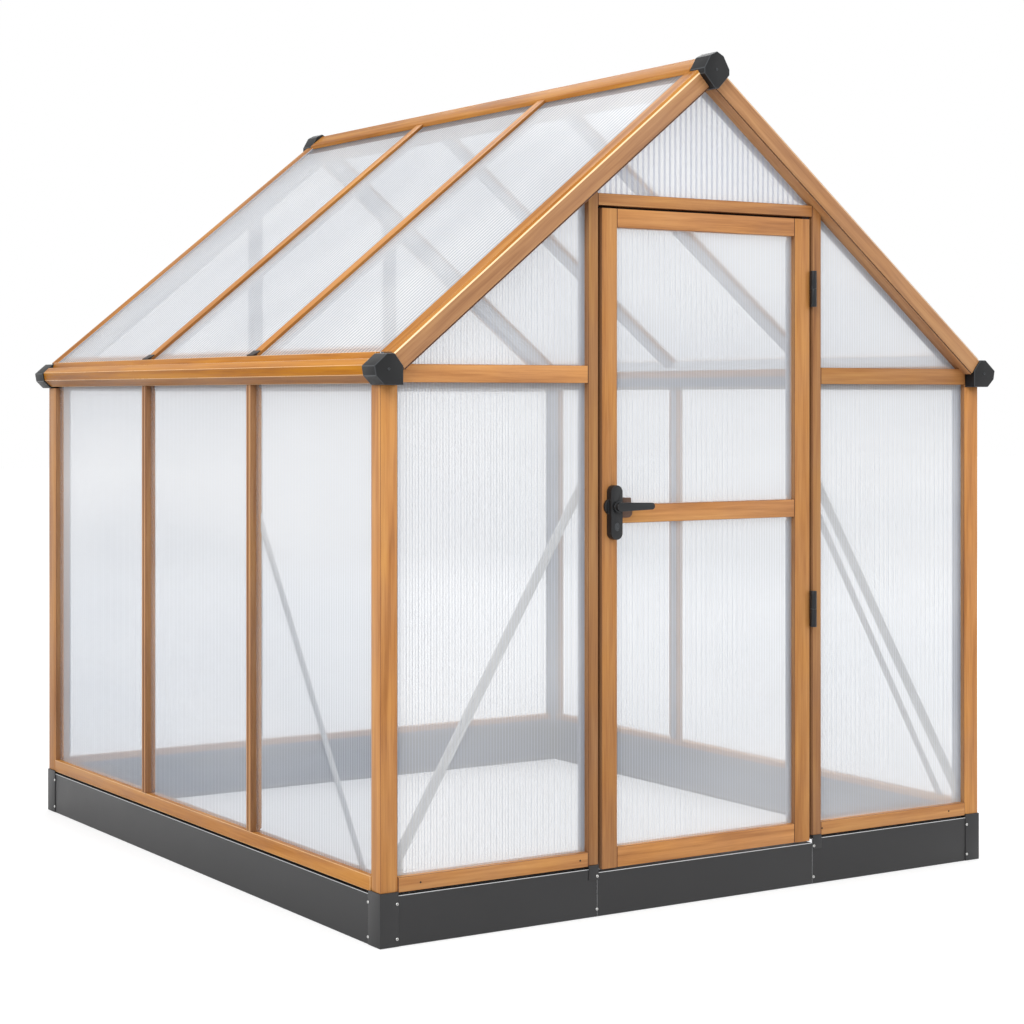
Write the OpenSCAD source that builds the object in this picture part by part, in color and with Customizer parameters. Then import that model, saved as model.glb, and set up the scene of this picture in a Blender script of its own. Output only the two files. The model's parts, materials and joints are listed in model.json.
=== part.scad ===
// Walk-in greenhouse: wood-toned bars, twin-wall sheets, dark end caps, folded steel base frame.
// X runs along the door wall, Y runs from the door wall to the back, Z is up.
// The origin is on the ground in the middle of the floor.

/* [Base frame] */
// Outside width of the base frame
base_w = 1820; // [1600:10:2400]
// Outside length of the base frame
base_l = 1914; // [1600:10:2600]
// Height of the base channels
base_h = 112; // [80:1:180]
// How much lower the channel under the door is
sill_drop = 10; // [0:1:14]
// Thickness of the folded steel
steel_t = 2; // [1:0.5:4]
// Width of the channels' flanges
flange_w = 30; // [28:1:50]
// Height of the rib that the bottom rails stand on
rib_h = 6; // [3:1:10]
// Thickness of that rib
rib_t = 12; // [6:1:13]
// Open seam between two front channels
seam = 1; // [0.5:0.5:3]

/* [Brackets and clips] */
// Thickness of the plates outside the corners
bracket_t = 2; // [1:0.5:3]
// Length of a corner bracket's front leg
bracket_front = 48; // [46:1:80]
// Length of a corner bracket's side leg
bracket_side = 53; // [46:1:80]
// Thickness of the pads under the posts and the door jambs
pad_t = 8; // [7:1:14]
// How far a jamb clip hangs down over the channel
clip_drop = 26; // [15:1:60]

/* [Bars] */
// Distance from the base frame's outside to the bars' outside
frame_inset = 3; // [3:1:10]
// Side of a square corner post
post = 45; // [40:1:60]
// Width of the bevel along a post's inner edges
post_bevel = 10; // [4:1:14]
// Depth of that bevel
bevel_d = 3; // [1:0.5:5]
// Height of the bottom rails
rail_h = 33; // [25:1:50]
// Depth of the bottom rails
rail_d = 34; // [28:1:40]
// Width of the wall mullions
mullion_w = 24; // [20:1:36]
// Depth of the wall mullions
mullion_d = 27; // [24:1:40]
// Width of the groove in a mullion's face
groove_w = 3; // [2:0.5:4]
// Depth of that groove
groove_d = 4; // [2:0.5:6]
// Distance from a mullion's edge to that groove
groove_in = 8; // [5:1:10]
// Distance from the middle to the side mullions near the door
mullion_near = 322; // [200:1:420]
// Distance from the middle to the side mullions near the back
mullion_far = 290; // [200:1:420]
// Distance from the middle to the back mullions
mullion_back = 240; // [200:1:400]
// Height of the posts' tops above the ground
post_top = 1234; // [1180:1:1500]
// Height of the rails at the eaves
eave_rail_h = 41; // [30:1:50]
// Depth of the rails at the eaves and of the door header
eave_rail_d = 27; // [24:1:34]
// Height of the eave rails above the posts' tops
eave_rail_up = 6; // [5:1:12]

/* [Eave beams] */
// How far an eave beam stands out from the bars' outside
beam_out = 29; // [20:1:40]
// Height of an eave beam's widest edge above the posts' tops
beam_edge_up = 44; // [36:1:50]
// Height of the slanting face below that edge
beam_low_h = 22; // [15:1:28]
// Height of the gap between an eave beam and the posts' tops
beam_lift = 4; // [2:1:4]
// Height of the roof sheets' feet above the posts' tops
foot_up = 60; // [56:1:66]
// Width of the lip that holds a sheet's foot
lip_w = 11; // [8:1:14]
// Height of the lip above the sheet
lip_h = 5; // [3:1:8]

/* [Door frame] */
// Distance from the middle to the jamb on the lock side
jamb_lock = 319; // [290:1:350]
// Distance from the middle to the jamb on the hinge side
jamb_hinge = 338; // [290:1:350]
// Width of the jambs
jamb_w = 28; // [20:1:45]
// Depth of the jambs
jamb_d = 40; // [30:1:45]
// Height of the header
header_h = 28; // [20:1:40]

/* [Roof] */
// Slope of the roof in degrees
pitch = 38.6; // [35:0.1:45]
// Width of the roof bars
roof_bar_w = 36; // [24:1:50]
// Height of the roof bars above the sheets
bar_rise = 9; // [5:1:10]
// Depth of the roof bars below the outside of the sheets
bar_drop = 30; // [15:1:40]
// How far the gable rafters stand out in front of the gable wall
rafter_out = 26; // [10:1:28]
// Height of the gable rafters above the sheets, measured upright
rafter_rise = 4; // [2:1:6]
// Height of a gable rafter, measured upright
rafter_h = 66; // [55:1:75]
// Width of the bevel along a gable rafter's outer edge, on each face
rafter_bevel = 8; // [3:1:12]
// Half the width of the ridge beam's cover
ridge_half = 41; // [39:1:60]
// Height of that cover above the sheets, measured upright
ridge_rise = 11; // [7:1:16]
// Half the width of the ridge beam's spine
spine_half = 22; // [12:1:30]
// Depth of the spine below the point where the sheets' planes meet
spine_drop = 66; // [50:1:80]

/* [Eave caps] */
// How far an eave cap stands out in front of the gable wall
eave_cap_out = 30; // [29:1:50]
// Length of an eave cap along its beam
eave_cap_l = 57; // [56:1:80]
// Wall of an eave cap outside its beam
eave_cap_wall = 4; // [2:1:6]
// Distance from a post's inner edge to its cap's inner side
eave_cap_in = 4; // [2:1:8]
// Width of the cap's bevel that the rafter stands on
eave_cap_bevel = 22; // [14:1:24]
// Height of the cap's widest edge above the posts' tops
eave_cap_edge = 42; // [36:1:50]

/* [Ridge caps] */
// How far a ridge cap stands out in front of the gable wall
ridge_cap_out = 44; // [35:1:70]
// Length of a ridge cap along its beam
ridge_cap_l = 57; // [50:1:90]
// Half the width of a ridge cap
ridge_cap_half = 38; // [30:1:38]
// Height of a ridge cap above the ridge beam
ridge_cap_rise = 7; // [4:1:12]
// Half the width of its blunt top
cap_top_half = 20; // [10:1:26]
// Drop from its peak to the end of the blunt top
cap_top_drop = 10; // [6:1:14]
// Height of the slanting faces below the blunt top
cap_slant_h = 31; // [24:1:36]
// Height of its upright sides
cap_side_h = 14; // [8:1:20]
// Height of the point below its sides
cap_point_h = 34; // [24:1:44]
// Half the width of that point
cap_point_half = 5; // [3:1:10]

/* [Sheets and braces] */
// Thickness of the twin-wall sheets
sheet_t = 6; // [4:1:10]
// Distance from the bars' outside to the sheets
sheet_set = 15; // [12:1:16]
// Play between a sheet and the slanting bar beside it, or the door's rail above it
sheet_play = 0.3; // [0.2:0.1:0.6]
// Width of the diagonal braces
brace_w = 25; // [15:1:35]
// Thickness of the braces
brace_t = 2; // [1:0.5:3]
// Space between the sheets and the braces
brace_gap = 0.5; // [0.3:0.1:0.9]
// Height of a front brace's upright foot
brace_foot = 45; // [20:1:90]
// Height at which the front braces meet the door jambs
front_brace_z = 1030; // [700:1:1150]
// Height at which the side braces meet the mullions
side_brace_z = 944; // [700:1:1150]
// Distance from a post to the foot of a side brace
side_brace_foot = 56; // [20:1:120]

/* [Roof bar clips] */
// Length of a clip down the slope
clip_l = 9; // [6:1:20]
// Height of a clip above the lip
clip_h = 3; // [2:1:6]

/* [Door] */
// Gap between the door and the jamb on the lock side
gap_lock = 11; // [6:1:16]
// Gap between the door and the jamb on the hinge side
gap_hinge = 9; // [8:1:14]
// Gap between the door and the header
gap_top = 6; // [5:1:12]
// Gap between the door and the channel under it
gap_sill = 5; // [5:1:12]
// Width of the door's stiles
stile_w = 46; // [44:1:60]
// Width of the bevel along a stile's inner edge
stile_bevel = 8; // [4:1:10]
// Height of the door's top rail
top_rail_h = 44; // [30:1:60]
// Height of the door's middle rail
mid_rail_h = 43; // [30:1:60]
// Height of the middle rail's underside above the ground
mid_rail_z = 912; // [800:1:1000]
// Height of the door's bottom rail
low_rail_h = 47; // [30:1:70]
// Depth of the door's frame
door_d = 34; // [28:1:40]

/* [Hinges] */
// Outside radius of a hinge barrel
barrel_r = 8; // [6:0.5:10]
// Length of a hinge
hinge_l = 89; // [60:1:120]
// Height of the lower hinge's middle above the door's foot
hinge_low_up = 576; // [200:1:700]
// Drop from the door's top to the upper hinge's middle
hinge_high_down = 173; // [120:1:400]
// Space between a barrel and the face of the bars
barrel_gap = 1; // [0.5:0.5:2]
// Radius of the hinge pin
pin_r = 3; // [2:0.5:4]
// Radial clearance of the pin in its bore
pin_fit = 0.06; // [0.02:0.01:0.1]
// How far the pin reaches into the upper half
pin_reach = 31; // [15:1:40]
// How much deeper the bore is than the pin reaches
bore_spare = 1; // [0.5:0.5:3]
// Thickness of a hinge leaf
leaf_t = 3; // [2:0.5:3]
// Depth of a hinge leaf behind the face of the bars
leaf_d = 24; // [15:1:28]
// Space between the two halves of a hinge
hinge_split = 0.5; // [0.3:0.1:1]

/* [Lock and handle] */
// Width of the lock plates
plate_w = 32; // [30:1:36]
// Height of the lock plates
plate_h = 127; // [118:1:160]
// Drop from the spindle to the lock plates' lower end
plate_drop = 77; // [60:1:90]
// Thickness of the lock plate outside
plate_t = 19; // [8:1:22]
// Thickness of the lock plate inside
inner_plate_t = 12; // [6:1:20]
// Radius of the rose beside the outside lock plate
rose_r = 19; // [18:1:21]
// Thickness of that rose
rose_t = 7; // [3:1:7]
// Height of the spindle above the middle rail's underside
spindle_up = 40; // [20:1:60]
// Radius of the spindle
spindle_r = 4; // [3:0.5:6]
// Radial clearance of the spindle in its bores
spindle_fit = 0.06; // [0.02:0.01:0.1]
// Radius of the collars between the levers and the plates
collar_r = 13; // [11:1:15]
// Clear space between a lever and its plate
lever_gap = 8; // [6:1:20]
// Running space between a collar and its plate
collar_fit = 0.5; // [0.3:0.1:1]
// Thickness of the levers
lever_t = 9; // [6:1:14]
// Height of a lever at its hub
lever_hub_h = 21; // [16:1:26]
// Height of a lever at its tip
lever_tip_h = 16; // [10:1:16]
// Length of a lever from the spindle to its tip
lever_l = 98; // [70:1:120]
// Width of the block beside the lock plate
block_w = 40; // [20:1:50]
// Height of the block above the middle rail
block_up = 17; // [8:1:24]
// Height of the block below the middle rail's top
block_down = 30; // [20:1:30]
// Thickness of the block in front of the middle rail
block_t = 4; // [2:1:6]
// Radius of the block's lower corner
block_r = 12; // [6:1:16]

/* [Hidden] */
$fn = 48;

wood = "peru";
dark_steel = "dimgray";
black = "darkslategray";
sheet_colour = "aliceblue";
strap_colour = "lightgray";

slope = tan(pitch);

// Reach of the boxes that only cut
beyond = base_w + base_l;

// Outside faces of the base channels, and of the bars
steel_x = base_w / 2 - bracket_t;
steel_y = base_l / 2 - bracket_t;
face_x = base_w / 2 - frame_inset;
face_y = base_l / 2 - frame_inset;
post_x = face_x - post;
post_y = face_y - post;

// Levels of the walls
rail_z = base_h + rib_h;
rail_top = rail_z + rail_h;
pad_top = base_h + pad_t;
beam_z = post_top + beam_lift;
eave_rail_z = post_top + eave_rail_up;
eave_rail_top = eave_rail_z + eave_rail_h;

// Planes of the wall sheets' outside and inside, and of the braces
glass_x = face_x - sheet_set;
glass_y = face_y - sheet_set;
glass_in_x = glass_x - sheet_t;
glass_in_y = glass_y - sheet_t;
brace_x = glass_in_x - brace_gap;
brace_y = glass_in_y - brace_gap;

// Ends of the roof along Y
cap_front_y = face_y + eave_cap_out;
cap_back_y = cap_front_y - eave_cap_l;
rafter_front_y = face_y + rafter_out;
ridge_cap_front_y = face_y + ridge_cap_out;
ridge_cap_back_y = ridge_cap_front_y - ridge_cap_l;

// The roof's planes. Each function gives a height at a distance x from the middle.
// A sheet lies with play in its seat, whose planes are seat_top and seat_low.
foot_x = face_x - beam_lift;
foot_in_x = foot_x - lip_w;
ridge_z = post_top + foot_up + slope * foot_x;
seat_h = (sheet_t + 2 * sheet_play) / cos(pitch);
function seat_top(x) = ridge_z - slope * x;
function seat_low(x) = seat_top(x) - seat_h;
function sheet_top(x) = seat_top(x) - sheet_play / cos(pitch);
function sheet_low(x) = sheet_top(x) - sheet_t / cos(pitch);
function rafter_top(x) = seat_top(x) + rafter_rise;
function rafter_low(x) = rafter_top(x) - rafter_h;

// Header and door
header_top = rafter_low(max(jamb_hinge, jamb_lock));
header_z = header_top - header_h;
door_lock_x = -jamb_lock + gap_lock;
door_hinge_x = jamb_hinge - gap_hinge;
door_z = base_h - sill_drop + gap_sill;
door_top = header_z - gap_top;
sheet_lock_x = door_lock_x + stile_w;
sheet_hinge_x = door_hinge_x - stile_w;
door_back_y = face_y - door_d;

// Ends of the channel under the door: the seams lie under the jambs' inner edges
sill_lock_x = -jamb_lock - 3 * seam;
sill_hinge_x = jamb_hinge - 2 * seam;

// Hinge axis, in the middle of the gap and just in front of the bars
hinge_x = (jamb_hinge + door_hinge_x) / 2;
hinge_y = -(face_y + barrel_gap + barrel_r);
hinge_zs = [door_z + hinge_low_up, door_top - hinge_high_down];

// Lock
spindle_x = sheet_lock_x - plate_w / 2;
spindle_z = mid_rail_z + spindle_up;
plate_z = spindle_z - plate_drop;
plate_front_y = face_y + plate_t;
plate_back_y = door_back_y - inner_plate_t;
rose_x = door_lock_x + stile_w / 2;

// Middles of the side mullions and roof bars along Y
side_ys = [-mullion_near, mullion_far];

// Outline of an eave cap on the right, as [distance from the middle, height].
// Its inner bevel is square to the rafter's slope.
cap_x = face_x + beam_out + eave_cap_wall;
cap_edge_z = post_top + eave_cap_edge;
cap_in_x = post_x + eave_cap_in;
cap_crest_z = cap_edge_z + eave_cap_bevel / slope;
eave_cap_outline = [
    [cap_x, cap_edge_z], [cap_x - eave_cap_wall, cap_edge_z - beam_low_h],
    [face_x + 2 * eave_cap_wall, post_top], [cap_in_x, post_top],
    [cap_in_x, cap_edge_z], [cap_in_x + eave_cap_bevel, cap_crest_z], [face_x, cap_crest_z]
];

// Outline of an eave beam on the right: slanting face, upper face, groove, lip and the sheet's seat
beam_x = face_x + beam_out;
beam_edge_z = post_top + beam_edge_up;
beam_shelf_x = foot_x + (beam_x - foot_x) / 2;
lip_z = seat_top(foot_in_x) + lip_h;
shelf_z = beam_edge_z + (lip_z - beam_edge_z) / 2;
eave_beam_outline = [
    [beam_x, beam_edge_z], [beam_x - eave_cap_wall, beam_edge_z - beam_low_h],
    [face_x + beam_lift, beam_z], [post_x, beam_z], [post_x, seat_low(post_x)],
    [foot_x, seat_low(foot_x)], [foot_x, seat_top(foot_x)], [foot_in_x, seat_top(foot_in_x)],
    [foot_in_x, lip_z], [foot_x, lip_z], [foot_x + lip_h, shelf_z - lip_h],
    [beam_shelf_x, shelf_z]
];

// Half outlines of a ridge cap and of the ridge beam, from the middle outwards
cap_peak = ridge_z + ridge_rise + ridge_cap_rise;
cap_slant_z = cap_peak - cap_top_drop - cap_slant_h;
ridge_cap_outline = [
    [0, cap_peak], [cap_top_half, cap_peak - cap_top_drop],
    [ridge_cap_half, cap_slant_z], [ridge_cap_half, cap_slant_z - cap_side_h],
    [cap_point_half, cap_slant_z - cap_side_h - cap_point_h]
];
ridge_beam_outline = [
    [0, ridge_z + ridge_rise],
    [ridge_half, seat_top(ridge_half) + ridge_rise], [ridge_half, seat_top(ridge_half)],
    [spine_half, seat_top(spine_half)], [spine_half, ridge_z - spine_drop]
];

// Mirrors a half outline about the middle and returns the whole one
function whole(half) = concat(
    half,
    [for (i = [len(half) - 1 : -1 : 0]) if (half[i][0] > 0) [-half[i][0], half[i][1]]]
);

// A box from one corner to the other
module box(low, high) {
    translate(low)
        cube(high - low);
}

// An outline in X and Z, pushed along Y from y0 to y1
module push_y(points, y0, y1) {
    translate([0, y1, 0])
        rotate([90, 0, 0])
            linear_extrude(y1 - y0)
                polygon(points);
}

// An outline in Y and Z, pushed along X from x0 to x1
module push_x(points, x0, x1) {
    translate([x0, 0, 0])
        rotate([90, 0, 90])
            linear_extrude(x1 - x0)
                polygon(points);
}

// An outline in X and Y, pushed up from z0 to z1
module push_z(points, z0, z1) {
    translate([0, 0, z0])
        linear_extrude(z1 - z0)
            polygon(points);
}

// The children and their mirror image on the left
module both_sides() {
    children();
    mirror([1, 0, 0])
        children();
}

// The children and their mirror image at the back
module both_ends() {
    children();
    mirror([0, 1, 0])
        children();
}

// The wedge below the gable rafters' undersides, lowered by some play
module under_rafters(play) {
    reach = ridge_z / slope;
    push_y([[-reach, rafter_low(reach) - play], [0, rafter_low(0) - play], [reach, rafter_low(reach) - play]],
        -beyond, beyond);
}

// Section of a base channel, as [distance inwards from its outside, height]
function channel(h) = [
    [0, 0], [flange_w, 0], [flange_w, steel_t], [steel_t, steel_t], [steel_t, h - steel_t],
    [flange_w, h - steel_t], [flange_w, h], [0, h]
];

// A base channel along the wall at y = -steel_y, between x0 and x1,
// with a rib on it between rib0 and rib1
module channel_x(x0, x1, h, rib0, rib1) {
    push_x([for (p = channel(h)) [p[0] - steel_y, p[1]]], x0, x1);
    if (rib1 > rib0)
        box([rib0, sheet_set - steel_y, h - steel_t], [rib1, sheet_set + rib_t - steel_y, h + rib_h]);
}

module base_right() {
    color(dark_steel) {
        push_y([for (p = channel(base_h)) [steel_x - p[0], p[1]]], -steel_y, steel_y);
        box([steel_x - sheet_set - rib_t, steel_t - post_y, base_h - steel_t],
            [steel_x - sheet_set, post_y - steel_t, rail_z]);
    }
}

module base_left() {
    mirror([1, 0, 0])
        base_right();
}

// End of the front and back channels, against the side channels' flanges
corner_x = steel_x - flange_w;

module base_back() {
    color(dark_steel)
        mirror([0, 1, 0])
            channel_x(-corner_x, corner_x, base_h, steel_t - post_x, post_x - steel_t);
}

module base_front() {
    lock_rib = -jamb_lock - jamb_w - steel_t;
    hinge_rib = jamb_hinge + jamb_w + steel_t;
    color(dark_steel) {
        channel_x(-corner_x, sill_lock_x - seam, base_h, steel_t - post_x, lock_rib);
        channel_x(sill_lock_x, sill_hinge_x, base_h - sill_drop, 0, 0);
        channel_x(sill_hinge_x + seam, corner_x, base_h, hinge_rib, post_x - steel_t);
    }
}

module corner_brackets() {
    color(dark_steel)
        both_ends()
            both_sides() {
                box([base_w / 2 - bracket_front, steel_y, 0], [base_w / 2, base_l / 2, pad_top]);
                box([steel_x, base_l / 2 - bracket_side, 0], [base_w / 2, base_l / 2, pad_top]);
                box([post_x, post_y, base_h], [steel_x, steel_y, pad_top]);
            }
}

module jamb_clip(x0) {
    box([x0, -base_l / 2, base_h - clip_drop], [x0 + jamb_w, -steel_y, pad_top]);
    box([x0, -steel_y, base_h], [x0 + jamb_w, jamb_d - face_y, pad_top]);
}

module jamb_clips() {
    color(dark_steel) {
        jamb_clip(-jamb_lock - jamb_w);
        jamb_clip(jamb_hinge);
    }
}

// Post with bevels along its inner edges, and the cheek beside the eave cap that meets the rafter
module corner_posts() {
    cheek_top = cap_edge_z - eave_cap_in / slope;
    color(wood)
        both_sides() {
            push_z(
                [
                    [post_x, -post_y], [post_x, bevel_d - face_y], [post_x + post_bevel, -face_y],
                    [face_x, -face_y], [face_x, -post_y - post_bevel], [face_x - bevel_d, -post_y]
                ],
                pad_top, post_top);
            box([post_x, bevel_d - face_y, post_top - bevel_d], [cap_in_x, -cap_back_y, cheek_top]);
        }
}

module corner_posts_front() {
    corner_posts();
}

module corner_posts_back() {
    mirror([0, 1, 0])
        corner_posts();
}

module bottom_rail_right() {
    color(wood)
        box([face_x - rail_d, -post_y, rail_z], [face_x, post_y, rail_top]);
}

module bottom_rail_left() {
    mirror([1, 0, 0])
        bottom_rail_right();
}

module bottom_rail_back() {
    color(wood)
        box([-post_x, face_y - rail_d, rail_z], [post_x, face_y, rail_top]);
}

module bottom_rails_front() {
    color(wood) {
        box([-post_x, -face_y, rail_z], [-jamb_lock - jamb_w, rail_d - face_y, rail_top]);
        box([jamb_hinge + jamb_w, -face_y, rail_z], [post_x, rail_d - face_y, rail_top]);
    }
}

// Section of a mullion: [along the wall from its middle, distance inwards from the bars' outside]
mullion_section = [
    [-mullion_w / 2, 0], [mullion_w / 2 - groove_in - groove_w, 0],
    [mullion_w / 2 - groove_in - groove_w, groove_d], [mullion_w / 2 - groove_in, groove_d],
    [mullion_w / 2 - groove_in, 0], [mullion_w / 2, 0],
    [mullion_w / 2, mullion_d], [-mullion_w / 2, mullion_d]
];

module mullions_right() {
    color(wood)
        for (y = side_ys)
            push_z([for (p = mullion_section) [face_x - p[1], y + p[0]]], rail_top, beam_z);
}

module mullions_left() {
    mirror([1, 0, 0])
        mullions_right();
}

module mullions_back() {
    section = [for (p = mullion_section) [mullion_back + p[0], face_y - p[1]]];
    color(wood)
        both_sides() {
            push_z(section, rail_top, eave_rail_z);
            intersection() {
                push_z(section, eave_rail_top, ridge_z);
                under_rafters(0);
            }
        }
}

module eave_beam_right() {
    color(wood)
        push_y(eave_beam_outline, -cap_back_y, cap_back_y);
}

module eave_beam_left() {
    mirror([1, 0, 0])
        eave_beam_right();
}

module eave_rails_front() {
    color(wood) {
        box([-post_x, -face_y, eave_rail_z], [-jamb_lock - jamb_w, eave_rail_d - face_y, eave_rail_top]);
        box([jamb_hinge + jamb_w, -face_y, eave_rail_z], [post_x, eave_rail_d - face_y, eave_rail_top]);
    }
}

module eave_rail_back() {
    color(wood)
        box([-post_x, face_y - eave_rail_d, eave_rail_z], [post_x, face_y, eave_rail_top]);
}

// An upright of the door frame that begins at x0, cut off under the rafter
module jamb(x0) {
    intersection() {
        box([x0, -face_y, pad_top], [x0 + jamb_w, jamb_d - face_y, ridge_z]);
        under_rafters(0);
    }
}

module door_jambs() {
    color(wood) {
        jamb(-jamb_lock - jamb_w);
        jamb(jamb_hinge);
    }
}

module door_header() {
    color(wood)
        box([-jamb_lock, -face_y, header_z], [jamb_hinge, eave_rail_d - face_y, header_top]);
}

// Outline of a gable rafter on the right: it stands square on the eave cap's bevel
toe_top = (rafter_top(cap_in_x) - cap_edge_z) * cos(pitch);
toe_low = (cap_edge_z - rafter_low(cap_in_x)) * cos(pitch);
rafter_outline = [
    [0, rafter_top(0)],
    [cap_in_x + toe_top * sin(pitch), cap_edge_z + toe_top * cos(pitch)],
    [cap_in_x - toe_low * sin(pitch), cap_edge_z - toe_low * cos(pitch)],
    [0, rafter_low(0)]
];

// The strip that the bevel takes off the rafter's outer front edge
module rafter_edge() {
    translate([0, -rafter_front_y, rafter_top(0)])
        rotate([0, pitch, 0])
            translate([-base_w, 0, 0])
                rotate([90, 0, 90])
                    linear_extrude(2 * beyond)
                        polygon([
                            [-rafter_bevel, rafter_bevel], [-rafter_bevel, -2 * rafter_bevel],
                            [2 * rafter_bevel, rafter_bevel]
                        ]);
}

module gable_rafter() {
    color(wood)
        difference() {
            push_y(rafter_outline, -rafter_front_y, -cap_back_y);
            rafter_edge();
            push_y(whole(ridge_cap_outline), -beyond, 0);
            push_y(whole(ridge_beam_outline), -ridge_cap_back_y, 0);
            box([0, -face_y, eave_rail_z], [post_x, 0, eave_rail_top]);
        }
}

module gable_rafters_front() {
    both_sides()
        gable_rafter();
}

module gable_rafters_back() {
    mirror([0, 1, 0])
        gable_rafters_front();
}

module ridge_beam() {
    color(wood)
        push_y(whole(ridge_beam_outline), -ridge_cap_back_y, ridge_cap_back_y);
}

// The bars stand on the sheets' bays and run from the eave beams' lips to the ridge beam's cover
module roof_bars() {
    outline = [
        [foot_in_x, seat_top(foot_in_x) + bar_rise], [ridge_half, seat_top(ridge_half) + bar_rise],
        [ridge_half, seat_top(ridge_half)], [spine_half, seat_top(spine_half)],
        [spine_half, seat_top(spine_half) - bar_drop], [post_x, seat_top(post_x) - bar_drop],
        [post_x, seat_low(post_x)], [foot_in_x, seat_low(foot_in_x)]
    ];
    color(wood)
        both_sides()
            for (y = side_ys)
                push_y(outline, y - roof_bar_w / 2, y + roof_bar_w / 2);
}

module roof_bar_clips() {
    outline = [
        [foot_in_x, lip_z], [foot_x, lip_z], [foot_x, lip_z + clip_h], [foot_in_x, lip_z + clip_h + lip_h],
        [foot_in_x - clip_l, seat_top(foot_in_x - clip_l) + bar_rise + clip_h],
        [foot_in_x - clip_l, seat_top(foot_in_x - clip_l) + bar_rise],
        [foot_in_x, seat_top(foot_in_x) + bar_rise]
    ];
    color(black)
        both_sides()
            for (y = side_ys)
                push_y(outline, y - roof_bar_w / 2, y + roof_bar_w / 2);
}

module eave_caps() {
    color(black)
        both_ends()
            both_sides()
                push_y(eave_cap_outline, -cap_front_y, -cap_back_y);
}

module ridge_caps() {
    color(black)
        both_ends()
            push_y(whole(ridge_cap_outline), -ridge_cap_front_y, -ridge_cap_back_y);
}

// The bays between the bars of a side wall or roof slope that ends at +/- end, as [start, end] along Y
function bays(end, bar_w) = [
    [-end, side_ys[0] - bar_w / 2],
    [side_ys[0] + bar_w / 2, side_ys[1] - bar_w / 2],
    [side_ys[1] + bar_w / 2, end]
];

module glazing_right() {
    color(sheet_colour)
        for (b = bays(post_y, mullion_w))
            box([glass_in_x, b[0], rail_top], [glass_x, b[1], beam_z]);
}

module glazing_left() {
    mirror([1, 0, 0])
        glazing_right();
}

module glazing_roof_right() {
    top_x = spine_half + sheet_play;
    low_x = foot_x - sheet_play;
    color(sheet_colour)
        for (b = bays(cap_back_y, roof_bar_w))
            push_y(
                [
                    [top_x, sheet_top(top_x)], [top_x, sheet_low(top_x)],
                    [low_x, sheet_low(low_x)], [low_x, sheet_top(low_x)]
                ],
                b[0], b[1]);
}

module glazing_roof_left() {
    mirror([1, 0, 0])
        glazing_roof_right();
}

// A sheet of a front or back wall under the rafters, between x0 and x1, from z0 up
module gable_sheet(x0, x1, z0) {
    difference() {
        intersection() {
            box([x0, -glass_y, z0], [x1, -glass_in_y, ridge_z]);
            under_rafters(sheet_play);
        }
        push_y(whole(ridge_cap_outline), -beyond, 0);
    }
}

// The two sheets of a bay, below and above the eave rail
module gable_bay(x0, x1) {
    box([x0, -glass_y, rail_top], [x1, -glass_in_y, eave_rail_z]);
    gable_sheet(x0, x1, eave_rail_top);
}

module glazing_front() {
    color(sheet_colour) {
        gable_bay(jamb_hinge + jamb_w, post_x);
        gable_bay(-post_x, -jamb_lock - jamb_w);
    }
}

module glazing_gable_front() {
    color(sheet_colour)
        gable_sheet(-jamb_lock, jamb_hinge, header_top);
}

module glazing_back() {
    inner = mullion_back - mullion_w / 2;
    outer = mullion_back + mullion_w / 2;
    color(sheet_colour)
        mirror([0, 1, 0]) {
            gable_bay(outer, post_x);
            gable_bay(-inner, inner);
            gable_bay(-post_x, -outer);
        }
}

// A strap across a front bay on the right: upright at the post, then slanting up to the jamb
module front_brace(jamb_x) {
    foot_top = rail_top + brace_foot;
    tip_h = brace_w * sqrt(1 + pow((front_brace_z - foot_top) / (post_x - jamb_x), 2));
    color(strap_colour)
        push_y(
            [
                [post_x, rail_top], [post_x, foot_top], [jamb_x, front_brace_z],
                [jamb_x, front_brace_z - tip_h], [post_x - brace_w, foot_top - brace_w / 2],
                [post_x - brace_w, rail_top]
            ],
            -brace_y, brace_t - brace_y);
}

module braces_front() {
    front_brace(jamb_hinge + jamb_w);
    mirror([1, 0, 0])
        front_brace(jamb_lock + jamb_w);
}

module braces_side() {
    strap_y = side_brace_foot - post_y;
    mullion_y = side_ys[0] - mullion_w / 2;
    tip_h = brace_w * sqrt(1 + pow((side_brace_z - rail_top) / (mullion_y - strap_y), 2));
    color(strap_colour)
        both_sides()
            push_x(
                [
                    [strap_y, rail_top], [strap_y + brace_w, rail_top],
                    [mullion_y, side_brace_z - tip_h], [mullion_y, side_brace_z]
                ],
                brace_x - brace_t, brace_x);
}

// One half of a hinge: a barrel, and a leaf in the gap beside the bar that carries it
module hinge_half(z0, z1, leaf_x) {
    translate([hinge_x, hinge_y, z0])
        cylinder(r = barrel_r, h = z1 - z0);
    box([leaf_x, hinge_y, z0], [leaf_x + leaf_t, leaf_d - face_y, z1]);
}

module hinge_jamb_halves() {
    color(black)
        for (z = hinge_zs) {
            hinge_half(z - hinge_l / 2, z - hinge_split / 2, jamb_hinge - leaf_t);
            translate([hinge_x, hinge_y, z - hinge_l / 2])
                cylinder(r = pin_r, h = hinge_l / 2 + pin_reach);
        }
}

module hinge_door_halves() {
    color(black)
        for (z = hinge_zs)
            difference() {
                hinge_half(z + hinge_split / 2, z + hinge_l / 2, door_hinge_x);
                translate([hinge_x, hinge_y, z])
                    cylinder(r = pin_r + pin_fit, h = pin_reach + bore_spare);
            }
}

// A round bar about the spindle's axis, between y0 and y1
module about_spindle(r, y0, y1) {
    translate([spindle_x, y1, spindle_z])
        rotate([90, 0, 0])
            cylinder(r = r, h = y1 - y0);
}

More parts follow.
